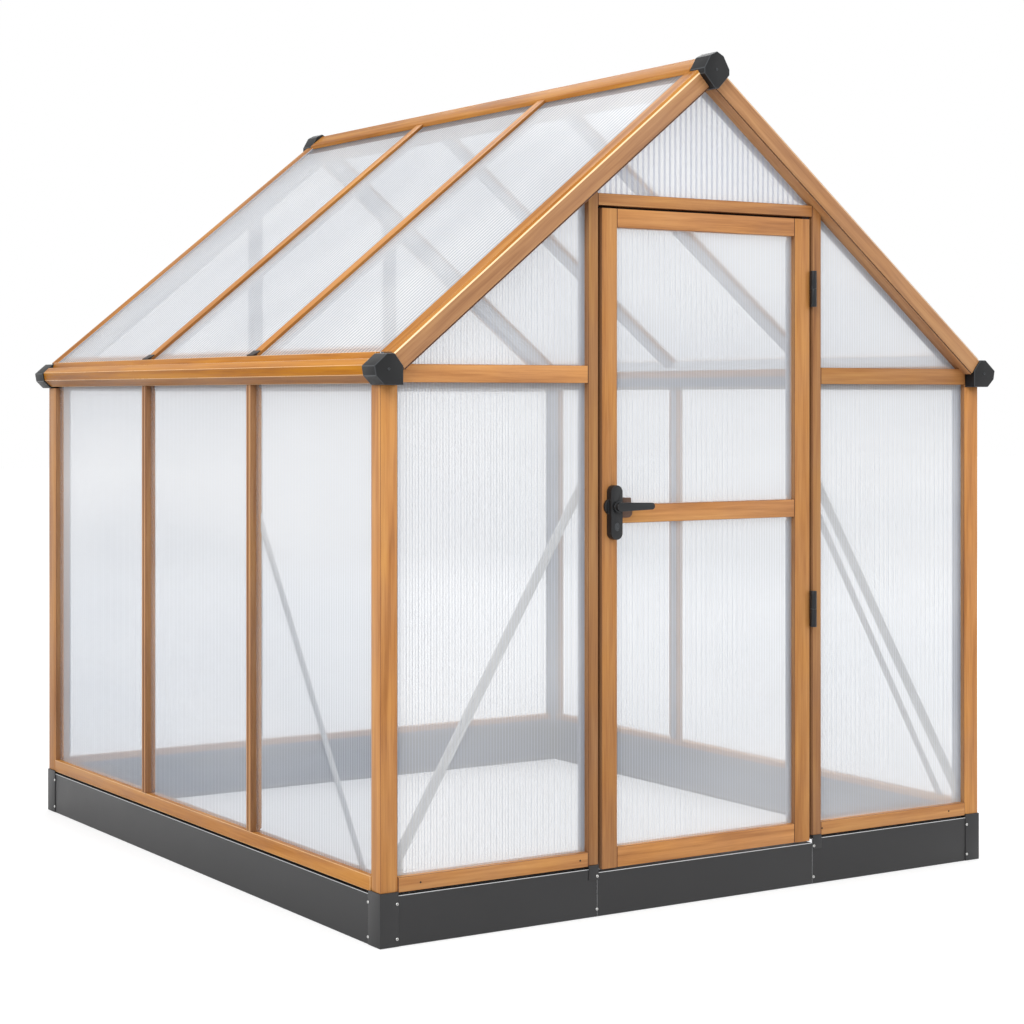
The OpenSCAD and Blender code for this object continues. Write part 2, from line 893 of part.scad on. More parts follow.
// A stile from its outer edge x0 to its beveled inner edge x1
module stile(x0, x1) {
    inward = sign(x1 - x0);
    push_z(
        [
            [x0, -face_y], [x1 - inward * stile_bevel, -face_y], [x1, bevel_d - face_y],
            [x1, -door_back_y], [x0, -door_back_y]
        ],
        door_z, door_top);
}

module door_stiles() {
    color(wood) {
        difference() {
            stile(door_lock_x, sheet_lock_x);
            about_spindle(spindle_r + spindle_fit, -beyond, 0);
        }
        stile(door_hinge_x, sheet_hinge_x);
    }
}

// Underside and top of each rail of the door
door_rail_zs = [
    [door_z, door_z + low_rail_h],
    [mid_rail_z, mid_rail_z + mid_rail_h],
    [door_top - top_rail_h, door_top]
];

module door_rails() {
    color(wood)
        for (r = door_rail_zs)
            box([sheet_lock_x, bevel_d - face_y, r[0]], [sheet_hinge_x, -door_back_y, r[1]]);
}

module door_sheets() {
    color(sheet_colour)
        for (i = [0, 1])
            box([sheet_lock_x, -glass_y, door_rail_zs[i][1]],
                [sheet_hinge_x, -glass_in_y, door_rail_zs[i + 1][0] - sheet_play]);
}

// A plate with round ends about the spindle's line, between y0 and y1
module round_plate(y0, y1) {
    r = plate_w / 2;
    box([spindle_x - r, y0, plate_z + r], [spindle_x + r, y1, plate_z + plate_h - r]);
    for (z = [plate_z + r, plate_z + plate_h - r])
        translate([0, 0, z - spindle_z])
            about_spindle(r, y0, y1);
}

module lock_plates() {
    color(black)
        difference() {
            union() {
                round_plate(-plate_front_y, -face_y);
                translate([rose_x - spindle_x, 0, 0])
                    about_spindle(rose_r, -face_y - rose_t, -face_y);
                round_plate(-door_back_y, -plate_back_y);
            }
            about_spindle(spindle_r + spindle_fit, -beyond, 0);
        }
}

// The block covers the end of the middle rail and stands up in front of the sheet
module lock_block() {
    top = door_rail_zs[1][1] + block_up;
    low = door_rail_zs[1][1] - block_down;
    end = sheet_lock_x + block_w;
    corner = [for (a = [-90 : 15 : 0]) [end - block_r + block_r * cos(a), low + block_r + block_r * sin(a)]];
    color("saddlebrown") {
        push_y(concat(corner, [[end - block_t, top], [sheet_lock_x, top], [sheet_lock_x, low]]),
            -face_y - block_t, bevel_d - face_y);
        box([sheet_lock_x, -face_y, door_rail_zs[1][1]], [end - block_r, -glass_y, top]);
    }
}

// A lever that tapers from its hub to its tip, between y0 and y1
module lever(y0, y1) {
    hub = lever_hub_h / 2;
    tip = lever_tip_h / 2;
    about_spindle(hub, y0, y1);
    translate([lever_l - tip, 0, 0])
        about_spindle(tip, y0, y1);
    push_y(
        [
            [spindle_x, spindle_z - hub], [spindle_x + lever_l - tip, spindle_z - tip],
            [spindle_x + lever_l - tip, spindle_z + tip], [spindle_x, spindle_z + hub]
        ],
        y0, y1);
}

module lever_handles() {
    outer_y = -plate_front_y - lever_gap;
    inner_y = -plate_back_y + lever_gap;
    color(black) {
        lever(outer_y - lever_t, outer_y);
        about_spindle(collar_r, outer_y, -plate_front_y - collar_fit);
        about_spindle(spindle_r, outer_y, inner_y);
        about_spindle(collar_r, -plate_back_y + collar_fit, inner_y);
        lever(inner_y, inner_y + lever_t);
    }
}

base_left();
base_right();
base_back();
base_front();
corner_brackets();
jamb_clips();
corner_posts_front();
corner_posts_back();
bottom_rail_left();
bottom_rail_right();
bottom_rail_back();
bottom_rails_front();
mullions_left();
mullions_right();
mullions_back();
eave_beam_left();
eave_beam_right();
eave_rails_front();
eave_rail_back();
door_jambs();
door_header();
gable_rafters_front();
gable_rafters_back();
ridge_beam();
roof_bars();
roof_bar_clips();
eave_caps();
ridge_caps();
glazing_left();
glazing_right();
glazing_back();
glazing_front();
glazing_gable_front();
glazing_roof_left();
glazing_roof_right();
braces_front();
braces_side();
hinge_jamb_halves();
door_stiles();
door_rails();
door_sheets();
hinge_door_halves();
lock_plates();
lock_block();
lever_handles();
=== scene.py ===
"""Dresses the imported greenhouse: finishes, twin-wall sheets, fittings, floor, light and camera."""

import json
import math

import bmesh
import bpy
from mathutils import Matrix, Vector


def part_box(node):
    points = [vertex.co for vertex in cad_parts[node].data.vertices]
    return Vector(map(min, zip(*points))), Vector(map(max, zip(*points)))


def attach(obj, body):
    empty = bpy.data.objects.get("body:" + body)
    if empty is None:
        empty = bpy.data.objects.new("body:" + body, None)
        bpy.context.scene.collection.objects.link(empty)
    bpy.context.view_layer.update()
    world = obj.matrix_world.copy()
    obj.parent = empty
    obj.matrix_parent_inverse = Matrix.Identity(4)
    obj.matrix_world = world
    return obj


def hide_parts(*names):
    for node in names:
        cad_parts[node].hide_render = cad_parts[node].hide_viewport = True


MM = 0.001
X, Y, Z = Vector((1, 0, 0)), Vector((0, 1, 0)), Vector((0, 0, 1))

# How far a unit vector has to point a certain way
EXACTLY, NEARLY, MOSTLY, PARTLY = 0.99, 0.9, 0.5, 0.3

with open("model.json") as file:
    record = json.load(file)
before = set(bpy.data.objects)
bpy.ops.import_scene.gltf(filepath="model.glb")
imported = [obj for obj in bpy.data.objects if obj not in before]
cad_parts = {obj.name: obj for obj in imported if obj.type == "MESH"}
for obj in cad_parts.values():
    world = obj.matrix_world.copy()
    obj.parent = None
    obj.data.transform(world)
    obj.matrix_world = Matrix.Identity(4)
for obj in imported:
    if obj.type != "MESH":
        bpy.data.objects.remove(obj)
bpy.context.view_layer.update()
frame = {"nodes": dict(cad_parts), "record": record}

BODY_OF = {
    node: body
    for body, nodes in frame["record"]["behaviour"]["bodies"].items()
    for node in nodes
}
SLOT_OF = {part["node"]: part["material_slot"] for part in frame["record"]["subparts"]}


def low(node):
    """The lowest corner of a CAD node's box."""
    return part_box(node)[0]


def high(node):
    """The highest corner of a CAD node's box."""
    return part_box(node)[1]


PITCH = math.radians(38.6)  # of the roof


def roof_up(x):
    """The direction square to the roof slope above x, out of the building."""
    return Vector((math.copysign(math.sin(PITCH), x), 0, math.cos(PITCH)))


def down_slope(side):
    """The direction down a roof slope, on side -1 or +1."""
    return Vector((side * math.cos(PITCH), 0, -math.sin(PITCH)))


# ---------------------------------------------------------------- node trees


class Tree:
    """A node tree that is written as nested calls."""

    def __init__(self, owner):
        owner.use_nodes = True
        self.tree = owner.node_tree
        self.tree.nodes.clear()

    def add(self, kind, inputs=None, **settings):
        node = self.tree.nodes.new(kind)
        for key, value in settings.items():
            setattr(node, key, value)
        for key, value in (inputs or {}).items():
            if isinstance(value, bpy.types.NodeSocket):
                self.tree.links.new(value, node.inputs[key])
            else:
                node.inputs[key].default_value = value
        return node

    def math(self, operation, a, b=0.0):
        return self.add("ShaderNodeMath", {0: a, 1: b}, operation=operation).outputs[0]

    def blend(self, factor, a, b):
        """The colour between a and b."""
        return self.add("ShaderNodeMix", {0: factor, 6: a, 7: b}, data_type="RGBA").outputs[2]

    def between(self, factor, least, most):
        """The number between least and most for a factor from 0 to 1."""
        limits = {"Value": factor, "To Min": least, "To Max": most}
        return self.add("ShaderNodeMapRange", limits).outputs[0]

    def share(self, value, none, full, **settings):
        """The factor from 0 to 1 for a value between none and full."""
        limits = {"Value": value, "From Min": none, "From Max": full}
        return self.add("ShaderNodeMapRange", limits, **settings).outputs[0]

    def noise(self, vector, scale, detail=3.0, roughness=0.5, distortion=0.0):
        node = self.add("ShaderNodeTexNoise", {
            "Vector": vector,
            "Scale": scale,
            "Detail": detail,
            "Roughness": roughness,
            "Distortion": distortion,
        })
        return node.outputs[0]

    def place(self):
        return self.add("ShaderNodeTexCoord").outputs["Object"]

    def along(self, place, axis):
        """A place's number along the axis X, Y or Z."""
        return self.add("ShaderNodeSeparateXYZ", {0: place}).outputs[axis]

    def geometry(self, output):
        return self.add("ShaderNodeNewGeometry").outputs[output]

    def scaled(self, vector, scale):
        return self.add("ShaderNodeMapping", {"Vector": vector, "Scale": scale}).outputs[0]

    def bump(self, height, strength, distance):
        inputs = {"Height": height, "Strength": strength, "Distance": distance}
        return self.add("ShaderNodeBump", inputs).outputs[0]

    def surface(self, shader):
        self.tree.links.new(shader, self.add("ShaderNodeOutputMaterial").inputs["Surface"])


def rgb(red, green, blue):
    """A linear colour from an 8-bit display colour."""

    def linear(v):
        v /= 255
        return v / 12.92 if v <= 0.04045 else ((v + 0.055) / 1.055) ** 2.4

    return (linear(red), linear(green), linear(blue), 1.0)


# ---------------------------------------------------------------- wood and coats

GRAINS = {  # the tilt of the grain from X, about Y, and whether it runs along Y instead
    "x": (0.0, False),
    "y": (0.0, True),
    "z": (math.pi / 2, False),
    "right": (-PITCH, False),
    "left": (PITCH, False),
}
GRAIN_LAYERS = {  # scale along the grain, settings of the noise, and share of the shade
    "band": (0.05, (36, 1.0, 0.5, 0.6), 0.46),
    "streak": (0.035, (190, 4.0, 0.6, 0.3), 0.34),
    "fibre": (0.03, (800, 2.0, 0.6), 0.06),
    "patch": (0.5, (11, 2.0, 0.5), 0.14),
}
WOOD_COLOURS = (  # the colour for a shade, from dark to light
    (0.30, rgb(140, 87, 41)),
    (0.41, rgb(166, 109, 56)),
    (0.50, rgb(183, 124, 67)),
    (0.60, rgb(195, 138, 77)),
    (0.72, rgb(208, 152, 88)),
)
WOOD_SHIFT = (7.0, 13.0, 5.0)  # the most that one bar's grain is moved from another's
WOOD_TONE = (0.94, 1.04)  # of the darkest and the lightest bar
WOOD_RICHNESS = (0.96, 1.1)  # the least and the most on one bar
WOOD_ROUGHNESS = (0.36, 0.52)  # the same
COAT_ROUGHNESS = (0.85, 1.15)  # the same, as shares of the mean
WOODS = {}


def wood(grain, tone=1.0, rich=1.0, gloss=0.22):
    """The wood-toned finish with its grain along X, Y, Z or down a roof slope.

    tone lightens or darkens it, rich is its share of the full saturation, and gloss is its specular
    level."""
    key = f"wood_along_{grain}_{round(100 * tone)}_{round(100 * rich)}_{round(100 * gloss)}"
    if key not in WOODS:
        WOODS[key] = make_wood(key, *GRAINS[grain], tone, rich, gloss)
    return WOODS[key]


def make_wood(name, tilt, along_y, tone, rich, gloss):
    """A wood-toned material. Each bar in a mesh has its own part of the grain and its own tone."""
    mat = bpy.data.materials.new(name)
    t = Tree(mat)
    bar = t.geometry("Random Per Island")
    turn = {"Vector": t.place(), "Axis": Y, "Angle": tilt}
    turned = t.add("ShaderNodeVectorRotate", turn, rotation_type="AXIS_ANGLE").outputs[0]
    shift = {axis: t.math("MULTIPLY", bar, most) for axis, most in zip("XYZ", WOOD_SHIFT)}
    shift = t.add("ShaderNodeCombineXYZ", shift).outputs[0]
    place = t.add("ShaderNodeVectorMath", {0: turned, 1: shift}, operation="ADD").outputs[0]

    layers, shade = {}, 0.0
    for layer, (stretch, settings, share) in GRAIN_LAYERS.items():
        stretched = t.scaled(place, (1, stretch, 1) if along_y else (stretch, 1, 1))
        layers[layer] = t.noise(stretched, *settings)
        shade = t.math("ADD", shade, t.math("MULTIPLY", layers[layer], share))
    ramp = t.add("ShaderNodeValToRGB", {"Fac": shade})
    ramp.color_ramp.interpolation = "B_SPLINE"
    stops = ramp.color_ramp.elements
    stops[0].position, stops[0].color = WOOD_COLOURS[0]
    stops[1].position, stops[1].color = WOOD_COLOURS[-1]
    for position, colour in WOOD_COLOURS[1:-1]:
        stops.new(position).color = colour

    colour = t.add("ShaderNodeHueSaturation", {
        "Color": ramp.outputs[0],
        "Value": t.between(bar, *(tone * v for v in WOOD_TONE)),
        "Saturation": t.between(layers["patch"], *(rich * v for v in WOOD_RICHNESS)),
    }).outputs[0]
    shader = t.add("ShaderNodeBsdfPrincipled", {
        "Base Color": colour,
        "Roughness": t.between(layers["streak"], *WOOD_ROUGHNESS),
        "Specular IOR Level": gloss,
        "Normal": t.bump(layers["streak"], strength=0.16, distance=0.4 * MM),
        "Coat Weight": 0.18 * gloss,
        "Coat Roughness": 0.3,
    })
    t.surface(shader.outputs[0])
    return mat


def coated(name, colour, roughness, grit, grit_depth, mottle=0.12, metallic=0.0, coat=0.0):
    """Powder coat, moulded plastic or steel: fine grit, and soft mottling of colour and gloss."""
    mat = bpy.data.materials.new(name)
    t = Tree(mat)
    place = t.place()
    fine = t.noise(place, grit, detail=2.0)
    soft = t.noise(place, scale=5.0, detail=4.0, roughness=0.6)
    base = {"Color": colour, "Value": t.between(soft, 1 - mottle, 1 + mottle)}
    shader = t.add("ShaderNodeBsdfPrincipled", {
        "Base Color": t.add("ShaderNodeHueSaturation", base).outputs[0],
        "Metallic": metallic,
        "Roughness": t.between(soft, *(roughness * v for v in COAT_ROUGHNESS)),
        "Specular IOR Level": 0.35,
        "Normal": t.bump(fine, strength=0.25, distance=grit_depth),
        "Coat Weight": coat,
        "Coat Roughness": 0.35,
    })
    t.surface(shader.outputs[0])
    return mat


# Painted highlight on the eased edges of wood: lighter and glossier than the wood.
WOOD_HIGHLIGHT_EDGE = coated("wood_painted_highlight_edge", rgb(226, 178, 120), 0.28, 300, 0.1 * MM, 0.1, coat=0.3)
# Painted highlight: the cream line along the bevel at a rafter's outer edge.
WOOD_HIGHLIGHT_LINE = coated("wood_painted_highlight_line", rgb(250, 214, 166), 0.25, 300, 0.1 * MM, 0.06, coat=0.4)
# Dark brown on eased wood edges: the dark of the joints at the ends of the bars, and painted shade
# along their other edges and in the rafters' rebates.
WOOD_JOINT_AND_SHADE = coated("wood_dark_joint_and_painted_shade", rgb(86, 48, 26), 0.5, 300, 0.1 * MM, 0.2)
WOOD_BATTEN = coated("wood_batten", rgb(104, 68, 48), 0.5, 300, 0.1 * MM, 0.15)
INSIDE = coated("bar_inside", rgb(142, 150, 164), 0.5, 600, 0.15 * MM, 0.08)
INSIDE_HIGH = coated("roof_bar_inside", rgb(180, 185, 194), 0.5, 600, 0.15 * MM, 0.08)
# Painted highlight on the rolled rim along the top of the base, and on its other, barely eased
# edges.
STEEL_HIGHLIGHT_RIM = coated("base_coat_painted_highlight_rim", rgb(196, 198, 200), 0.3, 900, 0.1 * MM)
STEEL_INSIDE = coated("base_inside", rgb(48, 72, 102), 0.5, 600, 0.15 * MM, 0.08)
FOOT_SEAL = coated("foot_seal", rgb(222, 225, 229), 0.5, 600, 0.15 * MM, 0.05)
# Painted shade: near black on the base's sides in the gap under the rails.
GAP_SHADE = coated("base_gap_painted_shade", rgb(12, 12, 12), 0.7, 600, 0.1 * MM)
TOOTH = coated("tooth_plastic", rgb(124, 124, 128), 0.5, 700, 0.1 * MM)
SEAL = coated("door_seal", rgb(34, 24, 20), 0.7, 700, 0.2 * MM)
# Lighter grey: a painted highlight on the eased edges of the caps, hinges, lock plates and levers,
# and the colour of the cap marks and key cylinders.
GREY_TRIM_AND_HIGHLIGHT = coated("cap_grey_trim_and_painted_highlight", rgb(56, 59, 62), 0.35, 700, 0.15 * MM)
STEEL = coated("base_coat", rgb(46, 46, 47), 0.42, 900, 0.25 * MM)
CAP = coated("cap_plastic", rgb(17, 18, 20), 0.5, 700, 0.35 * MM)
BLACK = coated("black_coat", rgb(27, 28, 30), 0.4, 1200, 0.15 * MM)
CLIP = coated("clip_plastic", rgb(44, 34, 29), 0.5, 700, 0.3 * MM)
BROWN = coated("block_plastic", rgb(98, 72, 58), 0.5, 900, 0.2 * MM)
STRAP = coated("strap_steel", rgb(198, 198, 197), 0.4, 400, 0.1 * MM, 0.06, metallic=0.15)
SCREW = coated("screw_steel", rgb(205, 205, 203), 0.28, 600, 0.1 * MM, 0.05, metallic=1.0)
# Near black: painted shade in the screws' sockets, and the colour of the small dark screws in the
# rails.
DARK_SCREW_AND_SOCKET_SHADE = coated("dark_screw_and_painted_socket_shade", rgb(24, 25, 26), 0.6, 500, 0.1 * MM)

# ---------------------------------------------------------------- plastic of the sheets

# The colours of the sheets where their painted reflections are faintest. DIM, on the left side, is
# painted shade above and below its painted glow.
PALE = rgb(240, 241, 243)
WHITE = rgb(252, 253, 254)
DIM = rgb(200, 205, 213)
RIB_PITCH = 16 * MM
NO_LINE = {"line": 0, "line_milky": 0, "line_colour": PALE}
WALL_LINE = {"line": 0.14, "line_milky": 0.34, "line_colour": rgb(205, 208, 214), "halfway": 0.8}
GABLE_LINE = {"line": 0.40, "line_milky": 0.20, "line_colour": rgb(210, 213, 224)}
ROOF_LINE = {"line": 0.42, "line_milky": 0.10, "line_colour": rgb(198, 203, 211)}
WALL_PAINTED_LIGHT_SCALE = (0.9, 0.9, 3.2)  # scale of the painted soft reflections and shade along X, Y and Z
ROOF_PAINTED_LIGHT_SCALE = (1.6, 2.4, 1.6)
PAINTED_LIGHT_RANGE = (0.36, 0.64)  # of the noise, from no painted reflection to full painted reflection
PAINTED_LIGHT_MILKY = 0.06  # what full painted light adds to the share of light that is scattered
GLOW_Z = 1.02  # the height at which the painted glow makes the left side brightest
GLOW_RANGE = (0.45, 0.05)  # away from its height, from no glow to full glow
GLOW_SHARE = 0.7  # of a sheet's painted brightness that comes from its painted glow, the rest from its painted reflections


def lines(t, across, offset, width):
    """1 on lines square to an axis, at the pitch of the ribs, and 0 between them.

    width is their share of the pitch."""
    phase = t.math("FRACT", t.math("ADD", t.math("DIVIDE", across, RIB_PITCH), offset))
    return t.math("LESS_THAN", t.math("ABSOLUTE", t.math("SUBTRACT", phase, 0.5)), width / 2)


def sheet_material(
    name, axis, milky, stretch, grey, line, line_milky, line_colour, halfway=0.0, glow_z=None
):
    """The outer skin of a twin-wall sheet: milky plastic with fine lines over its ribs.

    milky is the least share of light that it scatters, to which line_milky is added on the lines.
    line is the width of a line as a share of the pitch, and halfway the strength of a second line
    between two ribs. stretch shapes soft patches of painted reflection and shade, which go from grey
    to white. A painted glow makes the sheet brightest at the height glow_z, if there is one."""
    mat = bpy.data.materials.new(name)
    t = Tree(mat)
    place = t.place()
    across = t.along(place, axis)
    # Soft patches of painted reflection and shade, with a painted glow band on the left side.
    painted_light = t.noise(t.scaled(place, stretch), scale=1.0, detail=1.0)
    painted_light = t.share(painted_light, *PAINTED_LIGHT_RANGE)
    if glow_z is not None:
        away = t.math("ABSOLUTE", t.math("SUBTRACT", t.along(place, "Z"), glow_z))
        glow = t.share(away, *GLOW_RANGE, interpolation_type="SMOOTHSTEP")
        painted_light = t.math("MULTIPLY", painted_light, 1 - GLOW_SHARE)
        painted_light = t.math("ADD", painted_light, t.math("MULTIPLY", glow, GLOW_SHARE))
    between_ribs = t.math("MULTIPLY", lines(t, across, 0.0, line), halfway)
    drawn = t.math("ADD", lines(t, across, 0.5, line), between_ribs)
    drawn = t.math("MULTIPLY", drawn, t.math("SUBTRACT", 1.0, t.geometry("Backfacing")))
    alpha = t.math("ADD", milky, t.math("MULTIPLY", drawn, line_milky))
    alpha = t.math("ADD", alpha, t.math("MULTIPLY", painted_light, PAINTED_LIGHT_MILKY))
    colour = t.blend(painted_light, grey, rgb(255, 255, 255))
    colour = t.blend(drawn, colour, line_colour)
    gloss = {"Base Color": colour, "Roughness": 0.22, "IOR": 1.45}
    gloss = t.add("ShaderNodeBsdfPrincipled", gloss).outputs[0]
    through = t.add("ShaderNodeBsdfTranslucent", {"Color": colour}).outputs[0]
    milk = t.add("ShaderNodeMixShader", {0: 0.5, 1: gloss, 2: through}).outputs[0]
    clear = t.add("ShaderNodeBsdfTransparent", {"Color": (1, 1, 1, 1)}).outputs[0]
    t.surface(t.add("ShaderNodeMixShader", {0: alpha, 1: clear, 2: milk}).outputs[0])
    return mat


def clear_material(name, darkest, lightest):
    """Clear plastic, which only tints what is behind it."""
    mat = bpy.data.materials.new(name)
    t = Tree(mat)
    tint = t.blend(t.noise(t.place(), scale=3.0, detail=1.0), darkest, lightest)
    t.surface(t.add("ShaderNodeBsdfTransparent", {"Color": tint}).outputs[0])
    return mat


SKIN_X = sheet_material("sheet_skin_x", "X", 0.46, WALL_PAINTED_LIGHT_SCALE, PALE, **WALL_LINE)
SKIN_Y = sheet_material("sheet_skin_y", "Y", 0.50, WALL_PAINTED_LIGHT_SCALE, DIM, glow_z=GLOW_Z, **WALL_LINE)
SKIN_Y_FAR = sheet_material("sheet_skin_y_far", "Y", 0.50, WALL_PAINTED_LIGHT_SCALE, WHITE, **WALL_LINE)
SKIN_GABLE = sheet_material("gable_skin", "X", 0.50, WALL_PAINTED_LIGHT_SCALE, WHITE, **GABLE_LINE)
SKIN_ROOF = sheet_material("roof_skin", "Y", 0.74, ROOF_PAINTED_LIGHT_SCALE, PALE, **ROOF_LINE)
EDGE_Y = sheet_material("sheet_edge_y", "Y", 0.20, WALL_PAINTED_LIGHT_SCALE, PALE, **NO_LINE)
EDGE_ROOF = sheet_material("roof_edge", "Y", 0.36, ROOF_PAINTED_LIGHT_SCALE, PALE, **ROOF_LINE)
CLEAR = clear_material("sheet_inner_skin", (0.96, 0.968, 0.976, 1), (0.985, 0.99, 0.993, 1))
RIB = clear_material("sheet_rib", (0.95, 0.956, 0.966, 1), (0.966, 0.971, 0.98, 1))

# ---------------------------------------------------------------- shapes

WELD = 0.01 * MM  # vertices closer than this are one
FLAT = math.radians(0.3)  # faces that meet at less than this angle are one
SHARP = math.radians(30)  # edges at more than this angle are eased
PAN_HEAD = ((0, 0.3), (0.4, 0.3), (0.46, 1), (0.7, 0.92), (0.9, 0.55), (1, 0), (1, -0.5))
HEAD_HEIGHT = 0.45  # of a screw's head, as a share of its radius
SOCKET = 0.5  # the radius within which the head is painted dark as shade in its socket, as such a share


def add_object(name, bm, materials, body, slot, smooth=True):
    """A mesh object from a bmesh, which rides on a body."""
    mesh = bpy.data.meshes.new(name)
    if smooth:
        for face in bm.faces:
            face.smooth = True
    bm.to_mesh(mesh)
    bm.free()
    for mat in materials:
        mesh.materials.append(mat)
    obj = bpy.data.objects.new(name, mesh)
    bpy.context.scene.collection.objects.link(obj)
    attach(obj, body)
    return obj


def solid_copy(node):
    """A bmesh of a CAD node with its flat faces whole."""
    bm = bmesh.new()
    bm.from_mesh(frame["nodes"][node].data)
    bmesh.ops.remove_doubles(bm, verts=bm.verts, dist=WELD)
    bmesh.ops.dissolve_limit(bm, angle_limit=FLAT, verts=bm.verts, edges=bm.edges)
    bm.normal_update()
    return bm


def ease_edges(obj, width, segments=2, material=-1, limit="ANGLE"):
    """Bevels the sharp edges of an object by a width in millimetres."""
    bevel = obj.modifiers.new("eased_edges", "BEVEL")
    bevel.width = width * MM
    bevel.segments = segments
    bevel.limit_method = limit
    bevel.angle_limit = SHARP
    bevel.harden_normals = True
    bevel.material = material


def shaped(node, faces, edge, ease, segments=2, change=None, pick=None, share=None):
    """A copy of a CAD node with eased edges, which stands for it.

    faces are its materials, of which pick chooses one for each face, and edge is the one for its
    edges, which are ease millimetres wide. change alters its bmesh first. share gives the share of
    that width for an edge, where edges differ."""
    bm = solid_copy(node)
    if change:
        change(bm)
    if pick:
        for face in bm.faces:
            face.material_index = pick(face)
    if share:
        layer = bm.edges.layers.float.new("bevel_weight_edge")
        for e in bm.edges:
            sharp = len(e.link_faces) == 2 and e.calc_face_angle() > SHARP
            e[layer] = share(e) if sharp else 0.0
    obj = add_object(node + "_finished", bm, faces + [edge], BODY_OF[node], SLOT_OF[node])
    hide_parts(node)
    ease_edges(obj, ease, segments, len(faces), "WEIGHT" if share else "ANGLE")
    return obj


def lathe(bm, at, out, profile, radius=MM, height=MM, segments=20):
    """A solid of revolution about out through at.

    profile goes from the middle of its top outwards, in shares of a radius and a height."""
    turn = out.to_track_quat("Z", "Y").to_matrix()
    rings = []
    for wide, tall in profile:
        if wide == 0:
            rings.append([bm.verts.new(at + out * tall * height)])
            continue
        ring = []
        for k in range(segments):
            angle = 2 * math.pi * k / segments
            spoke = Vector((math.cos(angle), math.sin(angle), 0)) * wide * radius
            ring.append(bm.verts.new(at + turn @ (spoke + Z * tall * height)))
        rings.append(ring)
    for inner, outer in zip(rings, rings[1:]):
        for k in range(segments):
            n = (k + 1) % segments
            if len(inner) == 1:
                bm.faces.new((inner[0], outer[k], outer[n]))
            else:
                bm.faces.new((inner[k], outer[k], outer[n], inner[n]))
    bm.faces.new(list(reversed(rings[-1])))


def screws(name, places, radius, material, body, slot):
    """Pan-head screws with a socket painted dark as shade, at (place, outward direction) pairs, in
    one piece.
    """
    bm = bmesh.new()
    for at, out in places:
        done = set(bm.faces)
        lathe(bm, at, out, PAN_HEAD, radius, HEAD_HEIGHT * radius)
        for face in set(bm.faces) - done:
            offset = face.calc_center_median() - at
            if offset.length < SOCKET * radius and offset.dot(out) > 0:
                face.material_index = 1
    return add_object(name, bm, [material, DARK_SCREW_AND_SOCKET_SHADE], body, slot)


def cut(bm, place, normal, faces=None):
    """Cuts all faces, or the given ones, in the plane through place."""
    if faces is None:
        parts = bm.verts[:] + bm.edges[:] + bm.faces[:]
    else:
        edges = [e for f in faces for e in f.edges]
        verts = [v for f in faces for v in f.verts]
        parts = list(dict.fromkeys(faces + edges + verts))
    bmesh.ops.bisect_plane(bm, geom=parts, plane_co=place, plane_no=normal)


def box_on(bm, axes, spread, depth, reach, index=0):
    """A closed box between two places along each of three directions square to each other."""
    across, out, along = axes
    corners = [
        across * s + out * depth[i] + along * reach[j]
        for s in spread
        for i, j in ((0, 0), (0, 1), (1, 1), (1, 0))
    ]
    v = [bm.verts.new(c) for c in corners]
    for f in ((0, 1, 2, 3), (7, 6, 5, 4), (0, 4, 5, 1), (1, 5, 6, 2), (2, 6, 7, 3), (3, 7, 4, 0)):
        bm.faces.new([v[i] for i in f]).material_index = index


# ---------------------------------------------------------------- places that the pieces share

GLASS_X, GLASS_Y = high("glazing_right").x, -low("glazing_front").y  # the walls' sheets, outside
ROOF_LEVEL = max(v.co.dot(roof_up(1)) for v in frame["nodes"]["glazing_roof_right"].data.vertices)
RAFTER_REACH = -low("gable_rafters_front").y
EAVE_Z = low("eave_rails_front").z
LINER_Z = high("bottom_rail_back").z - 16 * MM  # the bottom rails are bare inside, up to here
BARE_Z = low("eave_rail_back").z + 27 * MM  # and so is what lies at the eaves, up to here
SEAL_Z = BARE_Z + 22 * MM  # a pale seal lies under the feet of the roof sheets, from here up
GAP_LOW = high("corner_brackets").z - 8 * MM  # the gap between the base and its rails, painted dark as shade
GAP_HIGH = low("bottom_rails_front").z - 0.5 * MM
CAP_REACH = high("ridge_beam").y + 30 * MM  # the end faces of the caps are beyond this
FAR_X, FAR_Y = 0.3, 0.5  # a face this far from the middle of the greenhouse is at a wall
UPRIGHT = 0.05  # the most that the normal of an upright face points up or down


def behind_sheets(point):
    return abs(point.x) < GLASS_X and abs(point.y) < GLASS_Y


def outward(face):
    """How far a face is from the middle of the greenhouse in X and Y, below 0 if it looks in."""
    middle = face.calc_center_median()
    return face.normal.x * middle.x, face.normal.y * middle.y


def looks_in(face):
    """Whether a face looks at the middle of the greenhouse, where the bars are bare."""
    x, y = outward(face)
    return x < -FAR_X or y < -FAR_Y


def on_liner(face):
    return looks_in(face) and face.calc_center_median().z < LINER_Z


def right_half(face):
    return int(face.calc_center_median().x > 0)


def on_side(bm, side):
    """The faces to the left (-1) or right (1) of the ridge."""
    return [f for f in bm.faces if f.calc_center_median().x * side > 0]


def cap_ends(bm):
    """The outer end faces of the caps."""
    ends = [f for f in bm.faces if abs(f.normal.y) > EXACTLY]
    return [f for f in ends if abs(f.calc_center_median().y) > CAP_REACH]


# ---------------------------------------------------------------- wood-toned bars

